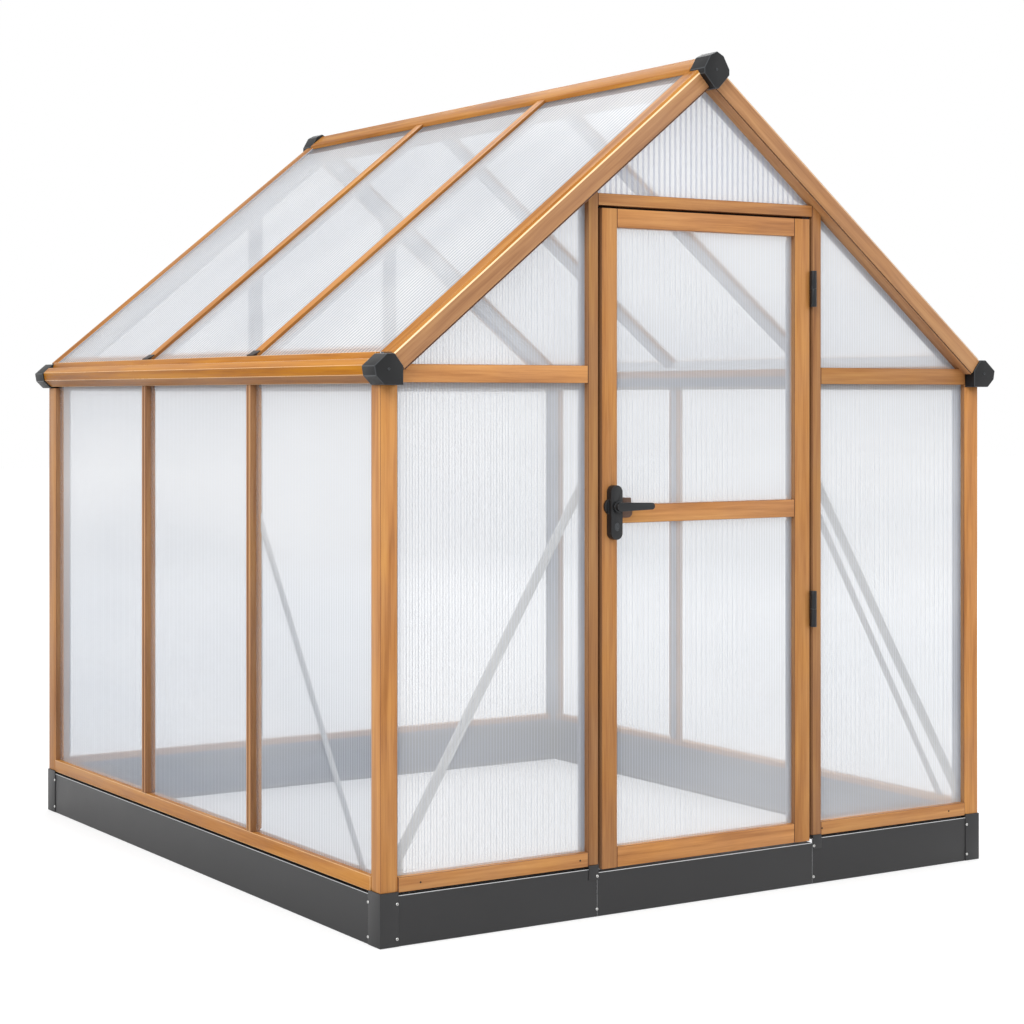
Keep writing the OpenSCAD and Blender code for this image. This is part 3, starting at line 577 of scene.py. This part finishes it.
SHADED = 0.70  # painted shade: the tone of the sides of a bar, beside the sheets
SIDE_RAIL = 0.94  # tone of the bottom rails in the sides
LONG_EDGE = 0.35  # width of the edges along a rail, as a share of the joint line at its ends
REBATE_H = 4 * MM  # along the lower edge of a rafter's outer face
REBATE_STEP = 0.4 * MM  # height of the slope between that face and its rebate
REBATE_DEPTH = 1.6 * MM
HIGHLIGHT_LINE_H = 3 * MM  # of the painted highlight line along the bevel at a rafter's outer edge
NEAR = 0.1 * MM  # vertices this close to a plane lie in it


def cut_at_sheets(bm):
    """Cuts every face in the planes of the walls' sheets."""
    for axis, reach in ((X, GLASS_X), (Y, GLASS_Y)):
        for side in (-1, 1):
            cut(bm, axis * side * reach, axis)


def level_cuts(*levels):
    """A change that cuts every face at some heights."""

    def change(bm):
        for z in levels:
            cut(bm, Z * z, Z)

    return change


def joint_share(edge):
    """A full joint line at the ends of a rail, and hardly any along it."""
    return 1.0 if any(abs(f.normal.x) > NEARLY for f in edge.link_faces) else LONG_EDGE


def lower_face(face):
    """0, 1 or 2 for a face that looks up or out, a little down, or down; the faces that look down
    get darker tones, as painted shade.
    """
    return 0 if face.normal.z > -UPRIGHT else 1 if face.normal.z > -MOSTLY else 2


def side_rail_part(face):
    """The same as lower_face, or 3 for the bare part inside."""
    return 3 if on_liner(face) else lower_face(face)


def back_rail_part(face):
    """1 for the bare part inside, and 0 elsewhere."""
    return int(on_liner(face))


def front_rail_part(face):
    """0 or 1 for the left or right half of a rail, or 2 where it looks in."""
    return 2 if abs(face.normal.y) > NEARLY and looks_in(face) else right_half(face)


def beside(*outs):
    """Picks 0 for a face that looks out of the wall, 2 for one that looks in, and 1 between, for the
    sides in painted shade.
    """

    def pick(face):
        if any(face.normal.dot(out) > MOSTLY for out in outs):
            return 0
        bare = behind_sheets(face.calc_center_median()) and -X not in outs
        return 2 if bare or any(face.normal.dot(out) < -MOSTLY for out in outs) else 1

    return pick


def beside_corner(face):
    """The same for a corner post, with 0 where it looks out in Y and 3 where it looks out in X."""
    if max(outward(face)) > FAR_X:
        return 3 if abs(face.normal.x) > MOSTLY else 0
    middle = face.calc_center_median()
    return 2 if middle.x > 0 and behind_sheets(middle) else 1


def eave_rail_part(face):
    """1 for the bare part inside, and 0 elsewhere."""
    return int(face.normal.y < -NEARLY and face.calc_center_median().z < BARE_Z)


def eave_beam_part(face):
    """The same as lower_face outside, and inside 3 for what is bare, 1 for wood in painted shade, 4
    for the seal.
    """
    if not looks_in(face):
        return lower_face(face)
    z = face.calc_center_median().z
    return 3 if z < BARE_Z else 4 if z > SEAL_Z else 1


def on_bevel(face):
    """Whether a rafter's face is on the bevel along its outer edge."""
    up = roof_up(face.calc_center_median().x)
    return face.normal.dot(up) > PARTLY and abs(face.normal.y) > PARTLY


def rebate(bm):
    """Sets the lower edge of each rafter's outer face back, and cuts out its painted highlight line.
    """
    cut_at_sheets(bm)
    for side in (-1, 1):
        up = roof_up(side)
        undersides = [f for f in on_side(bm, side) if f.normal.dot(up) < -EXACTLY]
        level = max(undersides, key=lambda f: f.calc_area()).verts[0].co.dot(up) + REBATE_H
        bevels = [f for f in on_side(bm, side) if on_bevel(f)]
        bevel_level = min(v.co.dot(up) for f in bevels for v in f.verts)
        for height in (level, level + REBATE_STEP, bevel_level + HIGHLIGHT_LINE_H):
            cut(bm, up * height, up, on_side(bm, side))
        for vert in bm.verts:
            outer = vert.co.x * side > 0 and abs(vert.co.y) > RAFTER_REACH - NEAR
            if outer and vert.co.dot(up) < level + NEAR:
                vert.co.y -= math.copysign(REBATE_DEPTH, vert.co.y)
    bm.normal_update()


def rafter_part(face):
    """0 or 1 for the top of the left or right rafter, 2 or 3 for its outer face and underside, in
    painted shade.

    4 is its rebate, painted dark as shade, 5 what is bare inside and 6 the painted highlight line."""
    middle = face.calc_center_median()
    up = roof_up(middle.x)
    looks_out = face.normal.y * math.copysign(1, middle.y)
    if looks_out > NEARLY and abs(middle.y) < RAFTER_REACH - 0.5 * REBATE_DEPTH:
        return 4
    if looks_out < -NEARLY or face.normal.z < -MOSTLY and abs(middle.y) < GLASS_Y:
        return 5
    levels = [v.co.dot(up) for v in face.verts]
    if on_bevel(face) and looks_out > 0 and max(levels) - min(levels) < 1.2 * HIGHLIGHT_LINE_H:
        return 6
    return right_half(face) + 2 * int(face.normal.z < -MOSTLY or looks_out > NEARLY)


def cut_at_roof(bm):
    """Cuts the roof bars' sides in the planes of the roof sheets."""
    for side in (-1, 1):
        cut(bm, roof_up(side) * ROOF_LEVEL, roof_up(side), on_side(bm, side))


def bar_part(face):
    """0 or 1 for the top of a left or right bar, 2 or 3 for its sides, in painted shade, and 4 below
    the sheets.
    """
    middle = face.calc_center_median()
    if middle.dot(roof_up(middle.x)) < ROOF_LEVEL:
        return 4
    return right_half(face) + 2 * int(face.normal.z < MOSTLY)


# Faces that look down get darker tones as painted shade, and the eased edges a painted highlight.
for node in ("bottom_rail_left", "bottom_rail_right"):
    tones = [wood("y", SIDE_RAIL), wood("y", 0.92 * SIDE_RAIL), wood("y", 0.82 * SIDE_RAIL)]
    shaped(node, tones + [STEEL_INSIDE], WOOD_HIGHLIGHT_EDGE, ease=1.0, change=level_cuts(LINER_Z),
           pick=side_rail_part)
# Its edges are dark at the joints at its ends, and thinner lines of painted shade run along it.
shaped("bottom_rail_back", [wood("x", 0.95, 0.93), STEEL_INSIDE], WOOD_JOINT_AND_SHADE, ease=1.6,
       change=level_cuts(LINER_Z), pick=back_rail_part, share=joint_share)
# Faces that look down get ever darker tones as painted shade.
shaped("ridge_beam", [wood("y", 0.9, 1.0, 0.04), wood("y", 0.7), wood("y", 0.5)],
       wood("y", 0.94, 1.0, 0.04), ease=0.8, pick=lower_face)
# The halves of the eaves and door rails get their own tones: the left half lighter, as painted
# light, and on the eaves rail the right half darker, as painted shade. Faces that look in get
# painted shade, and the edges are dark at the joints and painted shade along the rails.
for node, left_tone, right_tone, pick in (
    ("bottom_rails_front", 0.98, 0.98, right_half),
    ("eave_rails_front", 1.19, 0.83, front_rail_part),
    ("door_header", 0.97, 0.97, front_rail_part),
    ("door_rails", 1.2, 1.12, front_rail_part),
):
    tones = [wood("x", left_tone, 0.94), wood("x", right_tone, 0.94), wood("x", 0.9)]
    shaped(node, tones, WOOD_JOINT_AND_SHADE, ease=1.6, pick=pick, share=joint_share)
# The sides beside the sheets get painted shade, and the eased edges are dark at the joints and
# painted shade along the bars.
for node, tone, rich, bare, pick in (
    ("corner_posts_front", 1.14, 0.96, INSIDE, beside_corner),
    ("corner_posts_back", 0.97, 0.9, INSIDE, beside_corner),
    ("door_jambs", 0.72, 0.92, INSIDE, beside(-Y)),
    ("door_stiles", 1.0, 0.96, wood("z", 0.9), beside(-Y)),
    ("mullions_left", 0.97, 0.9, INSIDE, beside(-X)),
    ("mullions_right", 0.95, 1.0, INSIDE, beside(X)),
    ("mullions_back", 0.95, 1.0, INSIDE, beside(Y)),
):
    tones = [wood("z", tone, rich), wood("z", SHADED, 0.86), bare, wood("z", 0.97 * tone, rich)]
    shaped(node, tones, WOOD_JOINT_AND_SHADE, ease=0.7, change=cut_at_sheets, pick=pick)
# Its edges are dark at the joints at its ends, and thinner lines of painted shade run along it.
shaped("eave_rail_back", [wood("x", 0.95), STEEL_INSIDE], WOOD_JOINT_AND_SHADE, ease=1.0,
       change=level_cuts(BARE_Z), pick=eave_rail_part, share=joint_share)
# Faces that look down get darker tones as painted shade, the wood inside too, and the eased edges a
# painted highlight.
for node in ("eave_beam_left", "eave_beam_right"):
    tones = [wood("y", 0.95, 1.08), wood("y", 0.84, 1.15), wood("y", 0.74)]
    shaped(node, tones + [STEEL_INSIDE, FOOT_SEAL], WOOD_HIGHLIGHT_EDGE, ease=0.8,
           change=level_cuts(BARE_Z, SEAL_Z), pick=eave_beam_part)
# Outer faces and undersides get painted shade, and the rebate is painted dark as shade; the line
# along the bevel and the eased edges are painted highlights.
for node in ("gable_rafters_front", "gable_rafters_back"):
    tones = [wood("left", 0.98, 1.0, 0.05), wood("right", 1.0, 0.9)]
    tones += [wood("left", 0.91, 0.86), wood("right", 0.93, 0.86)]
    shaped(node, tones + [WOOD_JOINT_AND_SHADE, INSIDE_HIGH, WOOD_HIGHLIGHT_LINE], WOOD_HIGHLIGHT_EDGE, ease=0.8,
           change=rebate, pick=rafter_part)
# The tops on the left are painted lighter as light, the sides get painted shade, and the eased edges
# a lighter wood as a painted highlight.
tones = [wood("left", 1.1, 0.97, 0.05), wood("right", 1.0), wood("left", 0.7), wood("right", 0.7)]
shaped("roof_bars", tones + [INSIDE_HIGH], wood("left", 1.2, 1.0, 0.05), ease=0.8,
       change=cut_at_roof, pick=bar_part)

# ---------------------------------------------------------------- steel, caps, lock

CHANNEL_SIDE = 0.04  # square metres, less than the side of any base channel
PLAIN_EDGE = 0.15  # width of the other edges, as a share of the rolled rim
CAP_DIP = 1.8 * MM  # in the middle of a cap's end


def rim_share(edge):
    """The width of the painted highlight: a rolled rim along the top of each channel's outer side,
    and barely eased edges elsewhere.
    """
    top = any(f.normal.z > NEARLY for f in edge.link_faces)
    side = any(
        abs(f.normal.z) < UPRIGHT and f.calc_area() > CHANNEL_SIDE for f in edge.link_faces
    )
    return 1.0 if top and side else PLAIN_EDGE


def base_part(face):
    """1 for a face that looks in, 2 for painted shade in the gap under the rails, and 0 elsewhere.
    """
    if sum(outward(face)) < -FAR_Y:
        return 1
    in_gap = GAP_LOW < face.calc_center_median().z < GAP_HIGH
    return 2 if in_gap and abs(face.normal.z) < MOSTLY else 0


def sink_ends(bm):
    """Sinks the middle of each cap's end, so that it is a shallow cone."""
    for face in cap_ends(bm):
        inward = -face.normal * CAP_DIP
        for vert in bmesh.ops.poke(bm, faces=[face])["verts"]:
            vert.co += inward


# The rolled rims carry a painted highlight, and the sides in the gap under the rails are painted
# dark as shade.
for node in ("base_left", "base_right", "base_back", "base_front"):
    shaped(node, [STEEL, STEEL_INSIDE, GAP_SHADE], STEEL_HIGHLIGHT_RIM, ease=1.4, segments=3, pick=base_part,
           share=rim_share)
# The lighter grey edges of the caps, hinges, lock plates and levers are painted highlights.
for node, material, edge, ease, change in (
    ("corner_brackets", STEEL, STEEL, 0.8, None),
    ("jamb_clips", STEEL, STEEL, 0.8, None),
    ("eave_caps", CAP, GREY_TRIM_AND_HIGHLIGHT, 1.6, sink_ends),
    ("ridge_caps", CAP, GREY_TRIM_AND_HIGHLIGHT, 1.6, sink_ends),
    ("roof_bar_clips", CLIP, CLIP, 0.6, None),
    ("braces_front", STRAP, STRAP, 0.6, None),
    ("braces_side", STRAP, STRAP, 0.6, None),
    ("hinge_jamb_halves", BLACK, GREY_TRIM_AND_HIGHLIGHT, 0.7, None),
    ("hinge_door_halves", BLACK, GREY_TRIM_AND_HIGHLIGHT, 0.7, None),
    ("lock_plates", BLACK, GREY_TRIM_AND_HIGHLIGHT, 1.8, None),
    ("lock_block", BROWN, BROWN, 1.5, None),
    ("lever_handles", BLACK, GREY_TRIM_AND_HIGHLIGHT, 1.5, None),
):
    shaped(node, [material], edge, ease, change=change)

# ---------------------------------------------------------------- twin-wall sheets

OUTER, WEB, INNER, STRIP = range(4)  # places in the list of a sheet's materials
RIB_T = 0.6 * MM
RIB_KEEP_OFF = 0.2  # from the edges of a sheet, as a share of the pitch
SKIN_T = 0.5 * MM
STRIP_W = 28 * MM  # the clearer strip along the rear edge of each sheet in the sides
STRIP_MAX = 70 * MM  # wider than any clearer strip
AT_EAVES = 10 * MM  # a sheet that ends this close to EAVE_Z has teeth
BEAD_W = 12 * MM
BEAD_T = 3 * MM
TOOTH_PITCH = 11 * MM
TOOTH_KEEP_OFF = 0.5  # as RIB_KEEP_OFF
TOOTH_W = 6 * MM
TOOTH_H = 14 * MM
BATTEN_W = 54 * MM  # the battens under the roof sheets, along the ridge
BATTEN_T = 8 * MM


def span(values):
    return min(values), max(values)


def about(middle, width):
    return middle - width / 2, middle + width / 2


def steps(spread, pitch, keep_off):
    """The multiples of a pitch between two places, kept off both by a share of the pitch."""
    first = math.ceil(spread[0] / pitch + keep_off)
    last = math.floor(spread[1] / pitch - keep_off)
    return [k * pitch for k in range(first, last + 1)]


def outline_spans(points, s):
    """Where the line at s crosses an outline of (s, t) points, as [low, high] spans of t."""
    cuts = []
    for (s0, t0), (s1, t1) in zip(points, points[1:] + points[:1]):
        if (s0 <= s) != (s1 <= s):
            cuts.append(t0 + (t1 - t0) * (s - s0) / (s1 - s0))
    cuts.sort()
    return list(zip(cuts[::2], cuts[1::2]))


def twin_wall(node, out, across, along, skins, bead):
    """The sheets of a CAD node as clear skins with ribs between them, and what holds them inside.

    out points out of the building, along follows the ribs, and across is square to both. skins are
    the materials of the outer skin and, if it has one, of its clearer strip. bead is that of the
    beads."""
    axes = across, out, along
    sheets = solid_copy(node)
    for face in sheets.faces:
        face.material_index = OUTER if face.normal.dot(out) > EXACTLY else INNER
    outer = [f for f in sheets.faces if f.material_index == OUTER]
    outlines = [[(v.co.dot(across), v.co.dot(along)) for v in f.verts] for f in outer]
    spreads = [span([s for s, t in points]) for points in outlines]
    lengths = [span([t for s, t in points]) for points in outlines]
    inside = min(v.co.dot(out) for v in sheets.verts)
    outside = outer[0].verts[0].co.dot(out)
    sloping = out.z > 0

    holders = bmesh.new()
    add_beads(holders, sheets, out, along)
    for spread, (first, last) in zip(spreads, lengths):
        if sloping:
            box_on(holders, axes, spread, (inside - BATTEN_T, inside), (first, first + BATTEN_W), 1)
        elif abs(last - EAVE_Z) < AT_EAVES:
            add_teeth(holders, axes, spread, inside, last)
    bmesh.ops.recalc_face_normals(holders, faces=holders.faces)
    add_object(node + "_beads", holders, [bead, WOOD_BATTEN if sloping else TOOTH], BODY_OF[node],
               "wood_bars", False)

    strips = []
    if sloping:
        strips = [(along, first + BATTEN_W, -1) for first, last in lengths]
    elif abs(out.x) > MOSTLY:
        strips = [(across, last - STRIP_W, 1) for first, last in spreads]
    mark_strips(sheets, strips)

    depth = inside + SKIN_T, outside - SKIN_T
    for points, spread in zip(outlines, spreads):
        for s in steps(spread, RIB_PITCH, RIB_KEEP_OFF):
            for first, last in outline_spans(points, s):
                if last - first > RIB_PITCH:
                    reach = first + SKIN_T, last - SKIN_T
                    box_on(sheets, axes, about(s, RIB_T), depth, reach, WEB)
    bmesh.ops.recalc_face_normals(sheets, faces=sheets.faces)
    materials = [skins[0], RIB, CLEAR, *skins[1:]]
    obj = add_object(node + "_finished", sheets, materials, BODY_OF[node], SLOT_OF[node], False)
    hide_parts(node)


def mark_strips(bm, strips):
    """Gives the strips of the outer skin their material.

    A strip is (direction, place, side): what lies beyond a place in a direction, or short of it
    where side is -1."""
    for direction, place, _ in {(tuple(d), round(at, 5), side) for d, at, side in strips}:
        cut(bm, Vector(direction) * place, Vector(direction))
    for face in bm.faces:
        middle = face.calc_center_median()
        beyond = [(middle.dot(direction) - place) * side for direction, place, side in strips]
        if face.material_index == OUTER and any(0 < b < STRIP_MAX for b in beyond):
            face.material_index = STRIP


def add_beads(bm, sheets, out, along):
    """Flat beads behind the edges of the sheets, except the level ones, as the bars' inner lips."""
    for face in sheets.faces:
        if face.normal.dot(out) < -EXACTLY:
            bm.faces.new([bm.verts.new(v.co) for v in face.verts])
    bm.normal_update()
    whole = list(bm.faces)
    made = bmesh.ops.inset_individual(bm, faces=whole, thickness=BEAD_W, use_even_offset=True)
    level_ones = []
    for face in made["faces"]:
        longest = max(face.edges, key=lambda e: e.calc_length())
        ends = longest.verts
        if abs((ends[1].co - ends[0].co).normalized().dot(along)) < PARTLY:
            level_ones.append(face)
    bmesh.ops.delete(bm, geom=whole + level_ones, context="FACES")
    made = bmesh.ops.extrude_face_region(bm, geom=list(bm.faces), use_keep_orig=True)
    moved = [v for v in made["geom"] if isinstance(v, bmesh.types.BMVert)]
    bmesh.ops.translate(bm, verts=moved, vec=-out * BEAD_T)


def add_teeth(bm, axes, spread, level, top):
    """Small blocks behind the top of a wall's sheet, under the eaves, shorter in the sides."""
    height = TOOTH_H if abs(axes[1].y) > MOSTLY else TOOTH_H / 2
    for s in steps(spread, TOOTH_PITCH, TOOTH_KEEP_OFF):
        box_on(bm, axes, about(s, TOOTH_W), (level - BEAD_T, level), (top - height, top), 1)


twin_wall("glazing_left", -X, Y, Z, [SKIN_Y, EDGE_Y], wood("z", 0.8))
twin_wall("glazing_right", X, Y, Z, [SKIN_Y_FAR, EDGE_Y], wood("z", 0.8))
twin_wall("glazing_back", Y, X, Z, [SKIN_X], INSIDE)
twin_wall("glazing_front", -Y, X, Z, [SKIN_X], INSIDE)
twin_wall("glazing_gable_front", -Y, X, Z, [SKIN_GABLE], INSIDE)
twin_wall("door_sheets", -Y, X, Z, [SKIN_X], INSIDE)
for node, side, grain in (("glazing_roof_left", -1, "left"), ("glazing_roof_right", 1, "right")):
    twin_wall(node, roof_up(side), Y, down_slope(side), [SKIN_ROOF, EDGE_ROOF], wood(grain, 0.9))

# ---------------------------------------------------------------- screws and small fittings

SCREW_R = 3.6 * MM
SCREW_LOW, SCREW_HIGH = 17 * MM, 94 * MM  # in the base
LEG_X, LEG_Y = 44 * MM, 52 * MM  # from a corner of the base to the screws along X and along Y
SEAM_LEFT, SEAM_RIGHT = 24 * MM, 25 * MM  # from the outer ends of the jambs' clips to their screws
RAIL_SCREW_R = 2.2 * MM
RAIL_SCREWS = (58 * MM, 492 * MM)  # from the end of a bottom rail
CAP_MARK = ((0, -0.4), (1.4, -0.4), (1.7, 0.9), (3.0, 0.9), (3.4, -1))  # for lathe, in millimetres
CAP_MARK_SUNK = 1.2 * MM
KEY_PROFILE = (  # the same
    (0, 0.6), (2.0, 0.6), (2.4, 1.2), (4.6, 1.2), (5.4, 0.4), (6.6, 0.8), (7.2, 0.0), (7.2, -1),
)
KEY_UP = 30 * MM  # from the foot of the lock plates
KEY_LEFT = 1.5 * MM  # of the middle between the lever's low end and the plates' high edge in X
KEY_OVAL = 1.35  # height over width
STOP_LEFT, STOP_RIGHT = 10.5 * MM, 8.5 * MM  # how far the door's seal reaches beyond the door
STOP_UP = 10 * MM  # and above the underside of the header
STOP_LAP = 5 * MM  # behind the door
STOP_GAP = 1 * MM  # between the door and the seal
STOP_FOOT = 2 * MM  # above the foot of the jambs


def base_screws():
    """Two screws on each leg of the corner brackets, and two beside each seam under the jambs."""
    corner = high("corner_brackets")
    legs = ((corner.x - LEG_X, corner.y, Y), (corner.x, corner.y - LEG_Y, X))
    places = []
    for z in (SCREW_LOW, SCREW_HIGH):
        for sx in (-1, 1):
            for sy in (-1, 1):
                for x, y, out in legs:
                    away = Vector((sx * out.x, sy * out.y, 0))
                    places.append((Vector((sx * x, sy * y, z)), away))
    front = low("base_front").y
    clip_front = low("jamb_clips").y
    for x in (low("jamb_clips").x + SEAM_LEFT, high("jamb_clips").x - SEAM_RIGHT):
        places.append((Vector((x, front, SCREW_LOW)), -Y))
        places.append((Vector((x, clip_front, SCREW_HIGH)), -Y))
    screws("base_screws", places, SCREW_R, SCREW, "house", "base_steel")


def rail_screws():
    """Small dark screws in the bottom rails, at the front and the back."""
    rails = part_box("bottom_rails_front")
    z = (rails[0].z + rails[1].z) / 2
    places = []
    for side in (-1, 1):
        for end in RAIL_SCREWS:
            x = side * (rails[1].x - end)
            places.append((Vector((x, rails[0].y, z)), -Y))
            places.append((Vector((x, -rails[0].y, z)), Y))
    screws("rail_screws", places, RAIL_SCREW_R, DARK_SCREW_AND_SOCKET_SHADE, "house", "black_metal")


def cap_marks():
    """The small moulding mark in the middle of each cap's end."""
    bm = bmesh.new()
    for node in ("eave_caps", "ridge_caps"):
        solid = solid_copy(node)
        for face in cap_ends(solid):
            out = face.normal.copy()
            lathe(bm, face.calc_center_median() - out * CAP_MARK_SUNK, out, CAP_MARK)
        solid.free()
    add_object("cap_marks", bm, [GREY_TRIM_AND_HIGHLIGHT], "house", "cap_plastic")


def key_cylinder():
    """The oval key cylinder at the lower end of each lock plate."""
    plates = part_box("lock_plates")
    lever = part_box("lever_handles")
    x = (lever[0].x + plates[1].x) / 2 - KEY_LEFT
    z = plates[0].z + KEY_UP
    bm = bmesh.new()
    for y, out in ((plates[0].y, -Y), (plates[1].y, Y)):
        lathe(bm, Vector((x, y, z)), out, KEY_PROFILE, segments=28)
    for vert in bm.verts:
        vert.co.z = z + (vert.co.z - z) * KEY_OVAL
    add_object("key_cylinders", bm, [GREY_TRIM_AND_HIGHLIGHT], "door", "black_metal")


def door_seal():
    """The dark rubber stop round the doorway, which closes the gap behind the door."""
    door_low = Vector(map(min, low("door_stiles"), low("door_rails")))
    door_high = Vector(map(max, high("door_stiles"), high("door_rails")))
    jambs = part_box("door_jambs")
    left, right = door_low.x - STOP_LEFT, door_high.x + STOP_RIGHT
    foot, top = jambs[0].z + STOP_FOOT, door_high.z - STOP_LAP
    depth = door_high.y + STOP_GAP, jambs[1].y
    bm = bmesh.new()
    for spread, reach in (
        ((left, door_low.x + STOP_LAP), (foot, top)),
        ((door_high.x - STOP_LAP, right), (foot, top)),
        ((left, right), (top, low("door_header").z + STOP_UP)),
    ):
        box_on(bm, (X, Y, Z), spread, depth, reach)
    bmesh.ops.recalc_face_normals(bm, faces=bm.faces)
    obj = add_object("door_seal", bm, [SEAL], "house", "cap_plastic", smooth=False)
    ease_edges(obj, 1.0)


base_screws()
rail_screws()
door_seal()
cap_marks()
key_cylinder()

# ---------------------------------------------------------------- floor, light and camera

FLOOR_SIZE = 60.0
FLOOR_GREY = rgb(205, 205, 205)
FLOOR_GLOW = 0.46  # what lifts it to white for the camera, and in glass and metal
WORLD_LIGHT = 1.0  # on the object
WORLD_SEEN = 1.0  # by the camera
LAMPS = (  # name, place, power and size
    ("key", (-5.5, -4.0, 6.0), 280, 4.0),
    ("fill", (4.5, -6.5, 4.0), 60, 4.0),
    ("back", (5.0, 6.5, 5.5), 260, 5.0),
)
CAMERA_PLACE = (-3.3497, -5.0899, 1.2064)
CAMERA_TURN = -math.radians(31.337)  # from straight ahead, along Y
CAMERA_LENS = {
    "sensor_width": 36, "lens": 77.19, "shift_x": 0.0996, "shift_y": -0.1117, "clip_end": 200,
}


def add_floor():
    bm = bmesh.new()
    bmesh.ops.create_grid(bm, x_segments=1, y_segments=1, size=FLOOR_SIZE / 2)
    mesh = bpy.data.meshes.new("floor")
    bm.to_mesh(mesh)
    bm.free()
    mat = bpy.data.materials.new("pale_floor")
    t = Tree(mat)
    path = t.add("ShaderNodeLightPath")
    seen = t.math("MAXIMUM", path.outputs["Is Camera Ray"], path.outputs["Is Glossy Ray"])
    seen = t.math("MAXIMUM", seen, path.outputs["Is Transmission Ray"])
    diffuse = t.add("ShaderNodeBsdfDiffuse", {"Color": FLOOR_GREY}).outputs[0]
    glow = {"Color": (1, 1, 1, 1), "Strength": t.math("MULTIPLY", seen, FLOOR_GLOW)}
    glow = t.add("ShaderNodeEmission", glow).outputs[0]
    t.surface(t.add("ShaderNodeAddShader", {0: diffuse, 1: glow}).outputs[0])
    mesh.materials.append(mat)
    floor = bpy.data.objects.new("floor", mesh)
    floor.location.z = -1 * MM
    bpy.context.scene.collection.objects.link(floor)


def add_world():
    world = bpy.data.worlds.new("studio")
    bpy.context.scene.world = world
    t = Tree(world)
    path = t.add("ShaderNodeLightPath")
    level = t.between(path.outputs["Is Camera Ray"], WORLD_LIGHT, WORLD_SEEN)
    sky = t.add("ShaderNodeBackground", {"Color": (1, 1, 1, 1), "Strength": level})
    t.tree.links.new(sky.outputs[0], t.add("ShaderNodeOutputWorld").inputs["Surface"])


def add_lamp(name, place, power, size):
    """A soft square lamp that points at the middle of the greenhouse."""
    data = bpy.data.lights.new(name, "AREA")
    data.energy = power
    data.size = size
    lamp = bpy.data.objects.new(name, data)
    lamp.location = place
    lamp.rotation_euler = (Z - Vector(place)).to_track_quat("-Z", "Y").to_euler()
    bpy.context.scene.collection.objects.link(lamp)


def add_camera():
    data = bpy.data.cameras.new("camera")
    for key, value in CAMERA_LENS.items():
        setattr(data, key, value)
    camera = bpy.data.objects.new("camera", data)
    camera.location = CAMERA_PLACE
    camera.rotation_euler = (math.pi / 2, 0, CAMERA_TURN)
    bpy.context.scene.collection.objects.link(camera)
    bpy.context.scene.camera = camera


add_floor()
add_world()
for lamp in LAMPS:
    add_lamp(*lamp)
add_camera()

scene = bpy.context.scene
scene.view_settings.view_transform = "Standard"
scene.cycles.transparent_max_bounces = 24
scene.cycles.max_bounces = 6
scene.cycles.diffuse_bounces = 3
scene.cycles.glossy_bounces = 3
